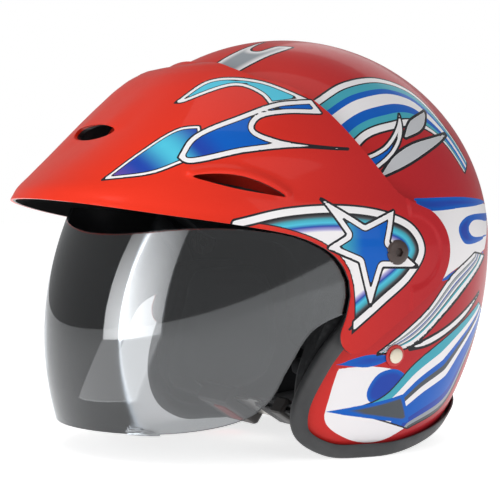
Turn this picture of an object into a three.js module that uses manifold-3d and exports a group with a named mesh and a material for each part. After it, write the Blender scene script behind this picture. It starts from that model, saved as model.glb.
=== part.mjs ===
// Open face motorcycle helmet with a flip-up peak and face shield.
//
// Units are millimetres, +Z is up, the wearer faces -Y and the wearer's left side is +X.
// The origin is on the table, under the middle of the helmet's length and width: it stands on z = 0.
// Inside the model every size is measured from the centre of the dome, which is REST_HEIGHT above the
// table and DOME_BACK behind the origin, because the peak reaches further forward than the shell does back.

import * as THREE from "three";
import { mergeVertices } from "three/addons/utils/BufferGeometryUtils.js";
import Module from "manifold-3d";

const wasm = await Module();
wasm.setup();

// ---------------------------------------------------------------- driving dimensions

const REST_HEIGHT = 132.4;
const DOME_BACK = 22.245;
const WALL = 3.5; // outer shell
const SHEET = 2; // face shield
const SKIN = 2.6; // peak
const EPS_THICK = 30;
const CROWN_PAD_THICK = 8;
const FIT_GAP = 0.5; // between fixed neighbours
const PEAK_CLEARANCE = 1.3; // between the peak and the shell it swings over

const DOME = { halfWidth: 126, halfLength: 142, crown: 134, sideTaper: 230, endTaper: 172, foot: -140 };
const PIVOT = { y: 0, z: -4, shellBore: 5.3, bearingBore: 6.3, nutRoom: 13 };
const RIVET_BORE = { shell: 3.4, webbing: 3.6 };

const WHOLE_TURN = 2 * Math.PI;

// ---------------------------------------------------------------- solids and booleans

function toManifold(geometry) {
  const bare = geometry.index ? geometry.toNonIndexed() : geometry.clone();
  const positions = new THREE.BufferGeometry().setAttribute("position", bare.getAttribute("position"));
  const merged = mergeVertices(positions, 1e-4);
  const vertProperties = new Float32Array(merged.attributes.position.array);
  const triVerts = new Uint32Array(merged.index.array);
  return new wasm.Manifold(new wasm.Mesh({ numProp: 3, vertProperties, triVerts }));
}

function toGeometry(manifold) {
  const mesh = manifold.getMesh();
  const geometry = new THREE.BufferGeometry();
  geometry.setAttribute("position", new THREE.BufferAttribute(new Float32Array(mesh.vertProperties), 3));
  geometry.setIndex(new THREE.BufferAttribute(new Uint32Array(mesh.triVerts), 1));
  geometry.computeVertexNormals();
  return geometry;
}

function triangleGeometry(points, triangles) {
  const geometry = new THREE.BufferGeometry();
  const positions = points.flatMap((p) => [p.x, p.y, p.z]);
  geometry.setAttribute("position", new THREE.Float32BufferAttribute(positions, 3));
  geometry.setIndex(triangles.flat());
  return geometry;
}

// A closed solid from a stack of rings: each ring is a list of points, anticlockwise seen from above,
// and the stack runs from the bottom ring to the top ring.
function ringStack(rings) {
  const count = rings[0].length;
  const points = rings.flat();
  const triangles = [];
  for (let i = 0; i + 1 < rings.length; i++) {
    for (let j = 0; j < count; j++) {
      const a = i * count + j;
      const b = i * count + ((j + 1) % count);
      triangles.push([a, b, b + count], [a, b + count, a + count]);
    }
  }
  const centreOf = (ring) => ring.reduce((sum, p) => sum.add(p), new THREE.Vector3()).divideScalar(count);
  const bottom = points.push(centreOf(rings[0])) - 1;
  const top = points.push(centreOf(rings.at(-1))) - 1;
  const lastRing = (rings.length - 1) * count;
  for (let j = 0; j < count; j++) {
    const next = (j + 1) % count;
    triangles.push([bottom, next, j], [top, lastRing + j, lastRing + next]);
  }
  return toManifold(triangleGeometry(points, triangles));
}

// A side-view outline of [y, z] points, extruded right across the helmet.
function sideExtrusion(outline, fromX = -200, toX = 200) {
  const shape = new THREE.Shape(outline.map(([y, z]) => new THREE.Vector2(y, z)));
  const geometry = new THREE.ExtrudeGeometry(shape, { depth: toX - fromX, bevelEnabled: false });
  const axes = [new THREE.Vector3(0, 1, 0), new THREE.Vector3(0, 0, 1), new THREE.Vector3(1, 0, 0)];
  geometry.applyMatrix4(new THREE.Matrix4().makeBasis(...axes));
  geometry.translate(fromX, 0, 0);
  return toManifold(geometry);
}

// A front-view outline of [x, z] points, extruded along Y.
function frontExtrusion(outline, fromY, toY) {
  const shape = new THREE.Shape(outline.map(([x, z]) => new THREE.Vector2(x, z)));
  const geometry = new THREE.ExtrudeGeometry(shape, { depth: toY - fromY, bevelEnabled: false });
  const axes = [new THREE.Vector3(1, 0, 0), new THREE.Vector3(0, 0, 1), new THREE.Vector3(0, -1, 0)];
  geometry.applyMatrix4(new THREE.Matrix4().makeBasis(...axes));
  geometry.translate(0, toY, 0);
  return toManifold(geometry);
}

// A cylinder along X between two x values, round the point (y, z).
function crossCylinder(radius, fromX, toX, y, z, segments = 18) {
  const geometry = new THREE.CylinderGeometry(radius, radius, Math.abs(toX - fromX), segments);
  geometry.rotateZ(Math.PI / 2);
  geometry.translate((fromX + toX) / 2, y, z);
  return toManifold(geometry);
}

const pivotHole = (radius, side) => crossCylinder(radius, side * 105, side * 150, PIVOT.y, PIVOT.z);

function smooth(points, count, closed = false) {
  const curve = new THREE.CatmullRomCurve3(
    points.map(([a, b]) => new THREE.Vector3(a, b, 0)),
    closed,
    "centripetal",
  );
  return curve.getSpacedPoints(count).map((p) => [p.x, p.y]);
}

function mirrored(manifold) {
  return manifold.mirror([1, 0, 0]);
}

// ---------------------------------------------------------------- dome

// Half width and half length of the dome at height z, grown outwards by a margin.
function domeSection(z, grow = 0) {
  const upper = Math.sqrt(Math.max(0, 1 - (z / (DOME.crown + grow)) ** 2));
  const side = z > 0 ? upper : Math.sqrt(1 - (z / DOME.sideTaper) ** 2);
  const end = z > 0 ? upper : Math.sqrt(1 - (z / DOME.endTaper) ** 2);
  return [(DOME.halfWidth + grow) * side, (DOME.halfLength + grow) * end];
}

function domeSolid(grow, columns, upperRows, lowerRows, foot = DOME.foot) {
  const heights = [];
  for (let i = 0; i <= lowerRows; i++) heights.push(foot * (1 - i / lowerRows));
  const crown = DOME.crown + grow;
  for (let i = 1; i < upperRows; i++) heights.push(crown * Math.sin((Math.PI / 2) * (i / upperRows)));
  const rings = heights.map((z) => {
    const [w, l] = domeSection(z, grow);
    return Array.from({ length: columns }, (_, j) => {
      const turn = (WHOLE_TURN * j) / columns;
      return new THREE.Vector3(w * Math.sin(turn), -l * Math.cos(turn), z);
    });
  });
  rings.push(rings.at(-1).map((p) => new THREE.Vector3(p.x * 0.02, p.y * 0.02, crown)));
  return ringStack(rings);
}

// Direction square to the dome at a point on it.
function domeNormal(p) {
  const [w, l] = domeSection(p.z);
  const [sideFall, endFall] = p.z > 0 ? [DOME.crown, DOME.crown] : [DOME.sideTaper, DOME.endTaper];
  const sideRise = ((p.x * DOME.halfWidth) / (sideFall * w ** 2)) ** 2;
  const endRise = ((p.y * DOME.halfLength) / (endFall * l ** 2)) ** 2;
  return new THREE.Vector3(p.x / w ** 2, p.y / l ** 2, p.z * (sideRise + endRise)).normalize();
}

// The edge of the shell in side view, from in front of the brow, round the cheek, to behind the neck.
const SHELL_EDGE = smooth(
  [
    [-156, 40],
    [-112, 34],
    [-70, 23],
    [-32, 5],
    [-15, -20],
    [-22, -42],
    [-40, -70],
    [-49, -98],
    [-45, -115],
    [-27, -126.4],
    [-4, -128.4],
    [16, -128.4],
    [46, -124],
    [75, -117],
    [97, -109.5],
    [112, -104.5],
    [122, -103.5],
    [156, -103.5],
  ],
  64,
);

function outerShell() {
  const hollow = domeSolid(-WALL, 40, 10, 5);
  let shell = domeSolid(0, 40, 10, 5).subtract(hollow).intersect(aboveEdge(SHELL_EDGE));
  for (const side of [1, -1]) {
    shell = shell.subtract(pivotHole(PIVOT.shellBore, side));
    shell = shell.subtract(strapBore(side, RIVET_BORE.shell));
  }
  return shell;
}

// ---------------------------------------------------------------- edge trim

// The middle of the shell's edge as one closed loop in space, evenly spaced.
function edgeLoop(count) {
  const left = [];
  for (const [y, z] of smooth(SHELL_EDGE, 1500)) {
    const [w, l] = domeSection(z, -WALL / 2);
    if (Math.abs(y) < l) left.push(new THREE.Vector3(w * Math.sqrt(1 - (y / l) ** 2), y, z));
  }
  const closeOnCentre = (p) => new THREE.Vector3(0, Math.sign(p.y) * domeSection(p.z, -WALL / 2)[1], p.z);
  const ends = [closeOnCentre(left[0]), closeOnCentre(left.at(-1))];
  const right = left.map((p) => new THREE.Vector3(-p.x, p.y, p.z)).reverse();
  const loop = new THREE.CatmullRomCurve3([ends[0], ...left, ends[1], ...right], true, "centripetal");
  loop.arcLengthDivisions = 4000;
  return loop.getSpacedPoints(count).slice(0, count);
}

// Rubber channel: [out of the wall, past the edge], pushed onto the shell's edge.
const TRIM_PROFILE = [
  [2.9, -6.5],
  [4.3, -6.5],
  [4.4, 1.2],
  [2.2, 4],
  [-2.2, 4],
  [-4.4, 1.2],
  [-4.3, -6.5],
  [-2.9, -6.5],
  [-2.9, 2.5],
  [2.9, 2.5],
];

// A profile carried round the whole edge of the shell.
function edgeSweep(profile) {
  const path = edgeLoop(88);
  const sections = path.map((p, i) => {
    const tangent = path[(i + 1) % path.length].clone().sub(path.at(i - 1)).normalize();
    const out = domeNormal(p);
    out.addScaledVector(tangent, -out.dot(tangent)).normalize();
    const past = out.clone().cross(tangent);
    return profile.map(([a, b]) => p.clone().addScaledVector(out, a).addScaledVector(past, -b));
  });
  const count = profile.length;
  const triangles = [];
  sections.forEach((_, i) => {
    const here = i * count;
    const next = ((i + 1) % sections.length) * count;
    for (let j = 0; j < count; j++) {
      const k = (j + 1) % count;
      triangles.push([here + j, here + k, next + k], [here + j, next + k, next + j]);
    }
  });
  return toManifold(triangleGeometry(sections.flat(), triangles));
}

const edgeTrim = () => edgeSweep(TRIM_PROFILE).trimByPlane([0, 0, 1], -REST_HEIGHT);
const trimRoom = edgeSweep([
  [5.4, -7.2],
  [5.4, 5],
  [-5.2, 5],
  [-5.2, -7.2],
]);

// ---------------------------------------------------------------- padding

// Lower edges of the linings in side view, from the brow to behind the neck. Above them they fill the dome.
const EPS_EDGE = [
  [-170, 52], [-95, 46], [-45, 28], [-10, 6], [50, 0], [62, -30], [66, -82], [170, -76],
];
const CROWN_PAD_EDGE = [
  [-170, 42], [-95, 37], [-45, 20], [-10, 0], [44, -6], [56, -30], [60, -74], [170, -70],
];
const NECK_ROLL_OUTLINE = [[52, -88], [58, -108], [100, -99], [150, -86], [150, -80], [70, -86]];

// Everything above an edge in side view.
const aboveEdge = (edge) => sideExtrusion([[-170, 150], ...edge, [170, 150]]);

function epsLiner() {
  const outer = domeSolid(-WALL - 2 * FIT_GAP, 36, 8, 3);
  const inner = domeSolid(-WALL - FIT_GAP - EPS_THICK, 30, 7, 3);
  let liner = outer.subtract(inner).intersect(aboveEdge(EPS_EDGE));
  for (const side of [1, -1]) {
    liner = liner.subtract(pivotHole(PIVOT.nutRoom, side));
  }
  return liner;
}

function crownPad() {
  const grow = -WALL - EPS_THICK - 2 * FIT_GAP;
  const outer = domeSolid(grow - 0.6, 30, 7, 3);
  const inner = domeSolid(grow - CROWN_PAD_THICK, 28, 6, 3);
  return outer.subtract(inner).intersect(aboveEdge(CROWN_PAD_EDGE));
}

function neckRoll() {
  const outer = domeSolid(-WALL - 2.2, 36, 4, 7);
  const inner = domeSolid(-WALL - 24, 32, 4, 7);
  return outer.subtract(inner).intersect(sideExtrusion(NECK_ROLL_OUTLINE));
}

const CHEEK_OUTLINE = smooth(
  [
    [-24, -20],
    [-37, -50],
    [-47, -84],
    [-45, -108],
    [-24, -117],
    [18, -112],
    [42, -98],
    [46, -50],
    [34, -20],
    [2, -17],
  ],
  30,
  true,
);

// Rigid foam block behind each cheek pad, with a channel for the chin strap.
function cheekFoam() {
  const block = domeSolid(-WALL - 2.4, 36, 4, 5).intersect(sideExtrusion(CHEEK_OUTLINE, 97, 130));
  return block.subtract(strapRoom()).subtract(trimRoom);
}

// Soft pad in front of it, crowned towards the face.
function cheekPad() {
  const centre = [2, -64];
  const ring = (shrink, x) =>
    CHEEK_OUTLINE.slice(0, 30).map(([y, z]) => {
      const [a, b] = [centre[0] + (y - centre[0]) * shrink, centre[1] + (z - centre[1]) * shrink];
      return new THREE.Vector3(a, b, x);
    });
  const pad = ringStack([ring(1, 0), ring(1.02, 8), ring(0.93, 15), ring(0.7, 20), ring(0.35, 22)]);
  const geometry = toGeometry(pad);
  const axes = [new THREE.Vector3(0, 1, 0), new THREE.Vector3(0, 0, 1), new THREE.Vector3(-1, 0, 0)];
  geometry.applyMatrix4(new THREE.Matrix4().makeBasis(...axes));
  geometry.translate(96.5, 0, 0);
  return toManifold(flipped(geometry)).subtract(strapRoom()).subtract(trimRoom);
}

function flipped(geometry) {
  const index = Array.from(geometry.index.array);
  for (let i = 0; i < index.length; i += 3) [index[i + 1], index[i + 2]] = [index[i + 2], index[i + 1]];
  return geometry.clone().setIndex(index);
}

// ---------------------------------------------------------------- face shield

const SHIELD = { halfWidth: 131.3, reach: 165.5, fullest: -62, bow: 0.00285, tuck: 4 / 93 ** 2 };

function shieldSection(z, grow) {
  const w = SHIELD.halfWidth + grow - SHIELD.tuck * Math.min(0, z - PIVOT.z) ** 2;
  return [w, SHIELD.reach + grow - SHIELD.bow * (z - SHIELD.fullest) ** 2];
}

function shieldSolid(grow) {
  const heights = Array.from({ length: 10 }, (_, i) => -130 + i * 18);
  return ringStack(
    heights.map((z) => {
      const [w, l] = shieldSection(z, grow);
      return Array.from({ length: 56 }, (_, j) => {
        const turn = (WHOLE_TURN * j) / 56;
        return new THREE.Vector3(w * Math.sin(turn), -l * Math.cos(turn), z);
      });
    }),
  );
}

// Side-view outline: top edge under the peak, arm round the pivot, rear edge, lower corner, bottom edge.
function shieldOutline() {
  const arm = Array.from({ length: 11 }, (_, i) => {
    const turn = Math.PI / 2 - (Math.PI * 1.05 * i) / 10;
    return [PIVOT.y + 17 * Math.cos(turn), PIVOT.z + 17 * Math.sin(turn)];
  });
  const top = [[-180, 22], [-110, 22], [-62, 19], [-38, 13.5]];
  const rear = [[-8, -26], [-27, -38], [-51, -50], [-66, -74], [-75, -92], [-88, -103]];
  const bottom = [[-122, -112.5], [-180, -115.5]];
  return [...top, ...arm, ...smooth([...rear, ...bottom], 22)];
}

function liftTab() {
  const [w, l] = shieldSection(-113, -0.5);
  const rings = [-114.2, -112.2].map((z) =>
    [0, 1, 2, 3, 4, 5, 6].map((i) => [i, 3.6 * Math.sin((Math.PI * i) / 6)]).flatMap(([i, out]) => {
      const turn = 0.44 + 0.03 * i;
      return [new THREE.Vector3((w + out) * Math.sin(turn), -(l + out) * Math.cos(turn), z)];
    }).concat(
      [6, 5, 4, 3, 2, 1, 0].map((i) => {
        const turn = 0.44 + 0.03 * i;
        return new THREE.Vector3((w - 1) * Math.sin(turn), -(l - 1) * Math.cos(turn), z);
      }),
    ),
  );
  return ringStack(rings);
}

function faceShield() {
  let shield = shieldSolid(0).subtract(shieldSolid(-SHEET)).intersect(sideExtrusion(shieldOutline()));
  shield = shield.add(liftTab());
  for (const side of [1, -1]) {
    shield = shield.subtract(pivotHole(PIVOT.bearingBore, side));
  }
  return shield;
}

// ---------------------------------------------------------------- peak

// Horizontal sections of the peak: height, half width, reach and squareness of the front.
const PEAK_SECTIONS = [
  [-72, 134, 186, 2],
  [-30, 135.4, 186, 2],
  [14, 135.4, 187, 2],
  [24, 132.8, 188.5, 2.02],
  [34, 128, 184, 2.12],
  [44, 123.6, 172, 2.3],
  [56, 118.6, 156.5, 2.6],
  [68, 112.6, 142, 2.9],
  [80, 105.4, 129.5, 3],
  [92, 96, 117.5, 3],
  [102, 85.6, 107, 3],
  [109, 76.5, 97, 3],
  [113.5, 69.5, 86, 3],
  [115.5, 64, 74, 3],
];

function peakSolid(inset) {
  const columns = 48;
  const sink = (z) => (z > 60 ? inset * 0.8 : 0);
  const shifted = PEAK_SECTIONS.map(([z, w, l, n]) => [z - sink(z), w - inset, l - inset, n]);
  return ringStack(
    shifted.map(([z, w, l, n]) =>
      Array.from({ length: columns }, (_, j) => {
        const turn = (WHOLE_TURN * j) / columns;
        const [s, c] = [Math.sin(turn), Math.cos(turn)];
        const squared = (v) => Math.sign(v) * Math.abs(v) ** (2 / n);
        return new THREE.Vector3(w * squared(s), -l * squared(c), z);
      }),
    ),
  );
}

// Side-view outline of the peak: back edge over the shell, round ear, ear tip, brim.
const PEAK_BACK = [
  [-76, 116], [-76, 112], [-66, 103.5], [-45, 96], [-31, 83], [-18, 66], [-4, 46], [7, 31],
  [18, 24.5],
];
const PEAK_EAR = { y: 10.5, z: -4, radius: 30, from: 1, to: -0.88 };
const PEAK_TIP = [
  [12, -39.5], [-8, -53.5], [-21, -62.5], [-29, -64.5], [-35, -60], [-36.5, -53], [-33, -42],
  [-30.5, -30],
];
const PEAK_BRIM = [
  [-31.5, -21], [-36, -12], [-43, -4.5], [-53, 1.5], [-66, 6.5], [-90, 11.5], [-141, 20],
  [-200, 31],
];

function peakOutline() {
  const { y, z, radius, from, to } = PEAK_EAR;
  const steps = 8;
  const ear = Array.from({ length: steps + 1 }, (_, i) => {
    const turn = from + ((to - from) * i) / steps;
    return [y + radius * Math.cos(turn), z + radius * Math.sin(turn)];
  });
  const [back, tip, brim] = [smooth(PEAK_BACK, 20), smooth(PEAK_TIP, 14), smooth(PEAK_BRIM, 16)];
  return [[-76, 140], ...back, ...ear, ...tip, ...brim, [-200, 140]];
}

// Lip along the back edge, following the dome, where the peak comes down onto the shell.
function peakLip() {
  const edge = smooth(PEAK_BACK, 20).filter(([, z]) => z > 40);
  const outline = [[-76, 140], ...edge, ...edge.map(([y, z]) => [y - 9, z - 5]).reverse(), [-88, 140]];
  const cap = domeSolid(PEAK_CLEARANCE + 2.2, 40, 10, 3);
  return cap.subtract(domeSolid(PEAK_CLEARANCE, 40, 10, 3)).intersect(sideExtrusion(outline));
}

const SIDE_SLOT = smooth(
  [[-119, 41.5], [-106, 43], [-92, 41.5], [-78, 36], [-69, 29.5], [-80, 31], [-96, 34], [-110, 38]],
  20,
  true,
);
const FRONT_VENT = { halfWidth: 31, halfHeight: 5, z: 70 };

function peak() {
  const { halfWidth, halfHeight, z } = FRONT_VENT;
  const ventOutline = Array.from({ length: 20 }, (_, i) => {
    const turn = (WHOLE_TURN * i) / 20;
    return [halfWidth * Math.cos(turn), z + halfHeight * Math.sin(turn)];
  });
  let part = peakSolid(0).subtract(peakSolid(SKIN)).intersect(sideExtrusion(peakOutline()));
  part = part.subtract(domeSolid(PEAK_CLEARANCE, 40, 10, 3)).add(peakLip());
  part = part.subtract(sideExtrusion(SIDE_SLOT.slice(0, -1)));
  part = part.subtract(frontExtrusion(ventOutline, -180, -120));
  for (const side of [1, -1]) {
    part = part.subtract(pivotHole(PIVOT.bearingBore, side));
  }
  return part;
}

// ---------------------------------------------------------------- pivot hardware

// Rings and discs on the pivot axis: [outer radius, bore radius, from x, to x].
const PIVOT_RINGS = {
  pivot_base: [16, 5.4, 126.6, 128.3],
  pivot_bush: [6, 3.3, 129.2, 135.6],
  friction_washer: [13, 6.3, 131.6, 132.2],
};

function pivotRing(name, side) {
  const [outer, bore, from, to] = PIVOT_RINGS[name];
  const ring = crossCylinder(outer, side * from, side * to, PIVOT.y, PIVOT.z);
  const bored = ring.subtract(crossCylinder(bore, side * (from - 1), side * (to + 1), PIVOT.y, PIVOT.z));
  return name === "pivot_base" ? bored.subtract(trimRoom) : bored;
}

// A solid of revolution about the pivot axis from [radius, x] points, mirrored for the right side.
function pivotLathe(profile, side) {
  const geometry = new THREE.LatheGeometry(profile.map(([r, x]) => new THREE.Vector2(r, x)), 18);
  geometry.rotateZ(-Math.PI / 2);
  geometry.translate(0, PIVOT.y, PIVOT.z);
  const made = toManifold(geometry);
  return side > 0 ? made : mirrored(made);
}

function pivotScrew(side) {
  const shank = [[0, 119.6], [2.9, 119.6], [2.9, 135.9]];
  const head = [[7.6, 135.9], [7.6, 137.2], [6.6, 138.3], [4, 138.8], [0, 138.9]];
  const key = crossCylinder(2.6, side * 136.9, side * 142, PIVOT.y, PIVOT.z, 6);
  return pivotLathe([...shank, ...head], side).subtract(key);
}

function pivotNut(side) {
  const flange = [[3.2, 118.2], [9, 118.2], [9, 120.8]];
  const barrel = [[4.9, 120.8], [4.9, 128.7], [3.2, 128.7], [3.2, 118.2]];
  return pivotLathe([...flange, ...barrel], side);
}

// ---------------------------------------------------------------- chin strap

// The strap hangs in a plane that leans forward from the rivets. In that plane x runs across the
// helmet and y runs up along the strap, and the webbing's width is along z.
const STRAP = { y: 9, z: -68, lean: 0.99, width: 22, thick: 1.8 };
const STRAP_LINE = [
  [113.7, 13], [112, 0], [109.3, -18], [103.5, -34], [92, -44], [74, -49], [52, -50], [34, -50],
];
const STRAP_ROOM = [
  [107, 20], [106, -10], [103, -22], [97, -33], [86, -40], [70, -45], [50, -46], [50, -90], [122, -90],
  [122, 20],
];

function strapFrame() {
  return new THREE.Matrix4()
    .makeRotationX(STRAP.lean)
    .setPosition(0, STRAP.y, STRAP.z);
}

function ribbonOutline(line, thick) {
  const at = (i) => new THREE.Vector2(...line[Math.max(0, Math.min(line.length - 1, i))]);
  const edge = (sign) =>
    line.map((_, i) => {
      const along = at(i + 1).sub(at(i - 1)).normalize();
      return new THREE.Vector2(-along.y, along.x).multiplyScalar((sign * thick) / 2).add(at(i));
    });
  return [...edge(-1), ...edge(1).reverse()];
}

function inStrapPlane(points, width, offset = 0) {
  const geometry = new THREE.ExtrudeGeometry(new THREE.Shape(points), { depth: width, bevelEnabled: false });
  geometry.translate(0, 0, offset - width / 2);
  geometry.applyMatrix4(strapFrame());
  return toManifold(geometry);
}

// Room left for the strap and its rivet between the cheek foam and the shell, and out under the pad.
function strapRoom() {
  return inStrapPlane(STRAP_ROOM.map(([x, y]) => new THREE.Vector2(x, y)), STRAP.width + 7);
}

// The rivet runs square to the shell.
function rivetFrame() {
  const [w, l] = domeSection(STRAP.z);
  const p = new THREE.Vector3(w * Math.sqrt(1 - (STRAP.y / l) ** 2), STRAP.y, STRAP.z);
  const turn = new THREE.Quaternion().setFromUnitVectors(new THREE.Vector3(0, 1, 0), domeNormal(p));
  return new THREE.Matrix4().makeRotationFromQuaternion(turn).setPosition(p);
}

function onRivet(profile, side) {
  const geometry = new THREE.LatheGeometry(profile.map(([r, h]) => new THREE.Vector2(r, h)), 16);
  geometry.applyMatrix4(rivetFrame());
  const made = toManifold(geometry);
  return side > 0 ? made : mirrored(made);
}

function strapBore(side, radius) {
  return onRivet([[0, -20], [radius, -20], [radius, 8], [0, 8]], side);
}

const RIVET = [
  [0, -11.8], [4.6, -11.8], [5, -10.7], [2.9, -10.7], [2.9, 1.6], [4.6, 1.6], [4.4, 2.6], [3, 3.4],
  [0, 3.7],
];
const RIVET_WASHER = [[3.3, 0.4], [6.8, 0.4], [6.8, 0.9], [6, 1.3], [3.3, 1.3], [3.3, 0.4]];
const ANCHOR_PLATE = [[3.3, -5.6], [9, -5.6], [9, -4.2], [3.3, -4.2], [3.3, -5.6]];

// Left strap: down from the rivet, over the tongue's bar, and back through the slider.
// Right strap: down from the rivet and into the buckle.
const TONGUE_LOOP = [
  [30, -50], [21, -50], [15.2, -50.3], [12.9, -52.3], [15.2, -54.3], [21, -54.6], [60, -54.6],
];

function chinStrap(side) {
  const run = smooth(STRAP_LINE, 20);
  const line = side > 0 ? [...run.slice(0, -1), ...TONGUE_LOOP] : run.filter(([x]) => x > 54);
  const ribbon = inStrapPlane(ribbonOutline(line, STRAP.thick), STRAP.width);
  const made = ribbon.subtract(strapBore(1, RIVET_BORE.webbing));
  return side > 0 ? made : mirrored(made);
}

function strapBox(x0, x1, y0, y1, width, offset = 0) {
  const corners = [[x0, y0], [x1, y0], [x1, y1], [x0, y1]];
  return inStrapPlane(corners.map(([x, y]) => new THREE.Vector2(x, y)), width, offset);
}

const CORNER = 2.2;

function rounded(x0, x1, y0, y1, width) {
  const c = CORNER;
  const right = [[x1 - c, y0], [x1, y0 + c], [x1, y1 - c], [x1 - c, y1]];
  const left = [[x0 + c, y1], [x0, y1 - c], [x0, y0 + c], [x0 + c, y0]];
  const outline = [...left, ...right];
  return inStrapPlane(outline.map(([x, y]) => new THREE.Vector2(x, y)), width);
}

// Buckle on the right strap: housing with a mouth for the tongue, a slot for the webbing and a button well.
const BUCKLE = { left: -16, right: -60, low: -60.5, high: -46.5, width: 30 };
const BUTTON = { left: -26, right: -42, width: 18, low: -61.6, high: -57.6, stroke: 2.5 };

function buckleHousing() {
  const { left, right, low, high, width } = BUCKLE;
  const mouth = strapBox(-50, left + 2, -53.7, -50.9, 21);
  const webbingSlot = strapBox(right - 2, -53, -51.6, -48.4, STRAP.width + 1);
  const wellTop = BUTTON.high + BUTTON.stroke + 0.5;
  const well = strapBox(BUTTON.right - 0.5, BUTTON.left + 0.5, low - 2, wellTop, BUTTON.width + 1);
  return rounded(right, left, low, high, width).subtract(mouth).subtract(webbingSlot).subtract(well);
}

function buckleButton() {
  return strapBox(BUTTON.right, BUTTON.left, BUTTON.low, BUTTON.high, BUTTON.width);
}

function buckleTongue() {
  const blade = strapBox(-46, 19, -53.3, -51.3, 20);
  const head = strapBox(6, 19, -53.3, -51.3, 27);
  const webbingSlot = strapBox(10.4, 15.4, -70, -40, STRAP.width + 1);
  const latchHole = strapBox(-40, -30, -70, -40, 9);
  return blade.add(head).subtract(webbingSlot).subtract(latchHole);
}

// Ladder slider that locks the doubled webbing.
function strapSlider() {
  return rounded(40, 54, -58, -46.6, 28).subtract(strapBox(38, 56, -56, -48.7, STRAP.width + 1));
}

// ---------------------------------------------------------------- assembly

const paint = { color: 0xc8202a, roughness: 0.25, metalness: 0.1 };
const MATERIALS = {
  shell_paint: paint,
  peak_paint: { color: 0xd7281c, roughness: 0.22, metalness: 0.1 },
  smoke: { color: 0x2b2d30, roughness: 0.05, metalness: 0, transparent: true, opacity: 0.55 },
  rubber: { color: 0x2a2c2e, roughness: 0.75, metalness: 0 },
  eps: { color: 0x1e1f21, roughness: 0.95, metalness: 0 },
  lining: { color: 0x1a1c20, roughness: 0.95, metalness: 0 },
  webbing: { color: 0x141416, roughness: 0.85, metalness: 0 },
  black_plastic: { color: 0x1b1b1c, roughness: 0.45, metalness: 0 },
  nylon: { color: 0xd8d8d2, roughness: 0.5, metalness: 0 },
  steel: { color: 0xc4c2ba, roughness: 0.3, metalness: 1 },
  red_plastic: { color: 0xb5161c, roughness: 0.4, metalness: 0 },
};

const helmet = new THREE.Group();
helmet.position.set(0, DOME_BACK, REST_HEIGHT);

function place(name, manifold, material) {
  const mesh = new THREE.Mesh(toGeometry(manifold), new THREE.MeshStandardMaterial(MATERIALS[material]));
  mesh.name = name;
  helmet.add(mesh);
}

place("outer_shell", outerShell(), "shell_paint");
place("edge_trim", edgeTrim(), "rubber");
place("eps_liner", epsLiner(), "eps");
place("crown_pad", crownPad(), "lining");
place("neck_roll", neckRoll(), "lining");
place("peak", peak(), "peak_paint");
place("face_shield", faceShield(), "smoke");

for (const [label, side] of [["left", 1], ["right", -1]]) {
  const handed = (made) => (side > 0 ? made : mirrored(made));
  place(`cheek_foam_${label}`, handed(cheekFoam()), "eps");
  place(`cheek_pad_${label}`, handed(cheekPad()), "lining");
  place(`pivot_base_${label}`, pivotRing("pivot_base", side), "black_plastic");
  place(`pivot_bush_${label}`, pivotRing("pivot_bush", side), "steel");
  place(`friction_washer_${label}`, pivotRing("friction_washer", side), "nylon");
  place(`pivot_nut_${label}`, pivotNut(side), "steel");
  place(`pivot_screw_${label}`, pivotScrew(side), "black_plastic");
  place(`strap_rivet_${label}`, onRivet(RIVET, side), "steel");
  place(`rivet_washer_${label}`, onRivet(RIVET_WASHER, side), "red_plastic");
  place(`strap_anchor_${label}`, onRivet(ANCHOR_PLATE, side), "steel");
  place(`chin_strap_${label}`, chinStrap(side), "webbing");
}

place("buckle_housing", buckleHousing(), "black_plastic");
place("buckle_button", buckleButton(), "red_plastic");
place("buckle_tongue", buckleTongue(), "steel");
place("strap_slider", strapSlider(), "black_plastic");

export default helmet;
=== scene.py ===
import math

import bmesh
import bpy
import numpy as np
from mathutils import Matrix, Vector


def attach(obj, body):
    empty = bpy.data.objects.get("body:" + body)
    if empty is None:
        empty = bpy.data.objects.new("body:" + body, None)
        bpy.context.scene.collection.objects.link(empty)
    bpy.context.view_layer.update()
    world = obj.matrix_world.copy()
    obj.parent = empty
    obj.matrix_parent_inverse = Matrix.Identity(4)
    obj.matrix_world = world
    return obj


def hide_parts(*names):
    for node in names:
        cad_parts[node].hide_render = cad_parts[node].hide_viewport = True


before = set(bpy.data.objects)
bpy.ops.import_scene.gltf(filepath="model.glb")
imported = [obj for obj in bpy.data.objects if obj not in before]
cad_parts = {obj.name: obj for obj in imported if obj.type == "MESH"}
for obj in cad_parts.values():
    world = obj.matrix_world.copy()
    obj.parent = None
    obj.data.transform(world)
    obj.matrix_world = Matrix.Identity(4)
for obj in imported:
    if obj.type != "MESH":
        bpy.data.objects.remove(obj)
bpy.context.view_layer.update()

# Sizes below are in millimetres from the centre of the dome, as in the CAD part. The wearer faces -Y.
REST_HEIGHT = 132.4
DOME_BACK = 22.245
DOME_CENTRE = np.array((0.0, DOME_BACK, REST_HEIGHT))
SHELL_WALL = 3.5
SHIELD_WALL = 2.0
PEAK_WALL = 2.6
PEAK_CLEARANCE = 1.3
PIVOT = (0.0, -4.0)
SIDES = (("left", 1), ("right", -1))


# ---- curves

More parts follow.
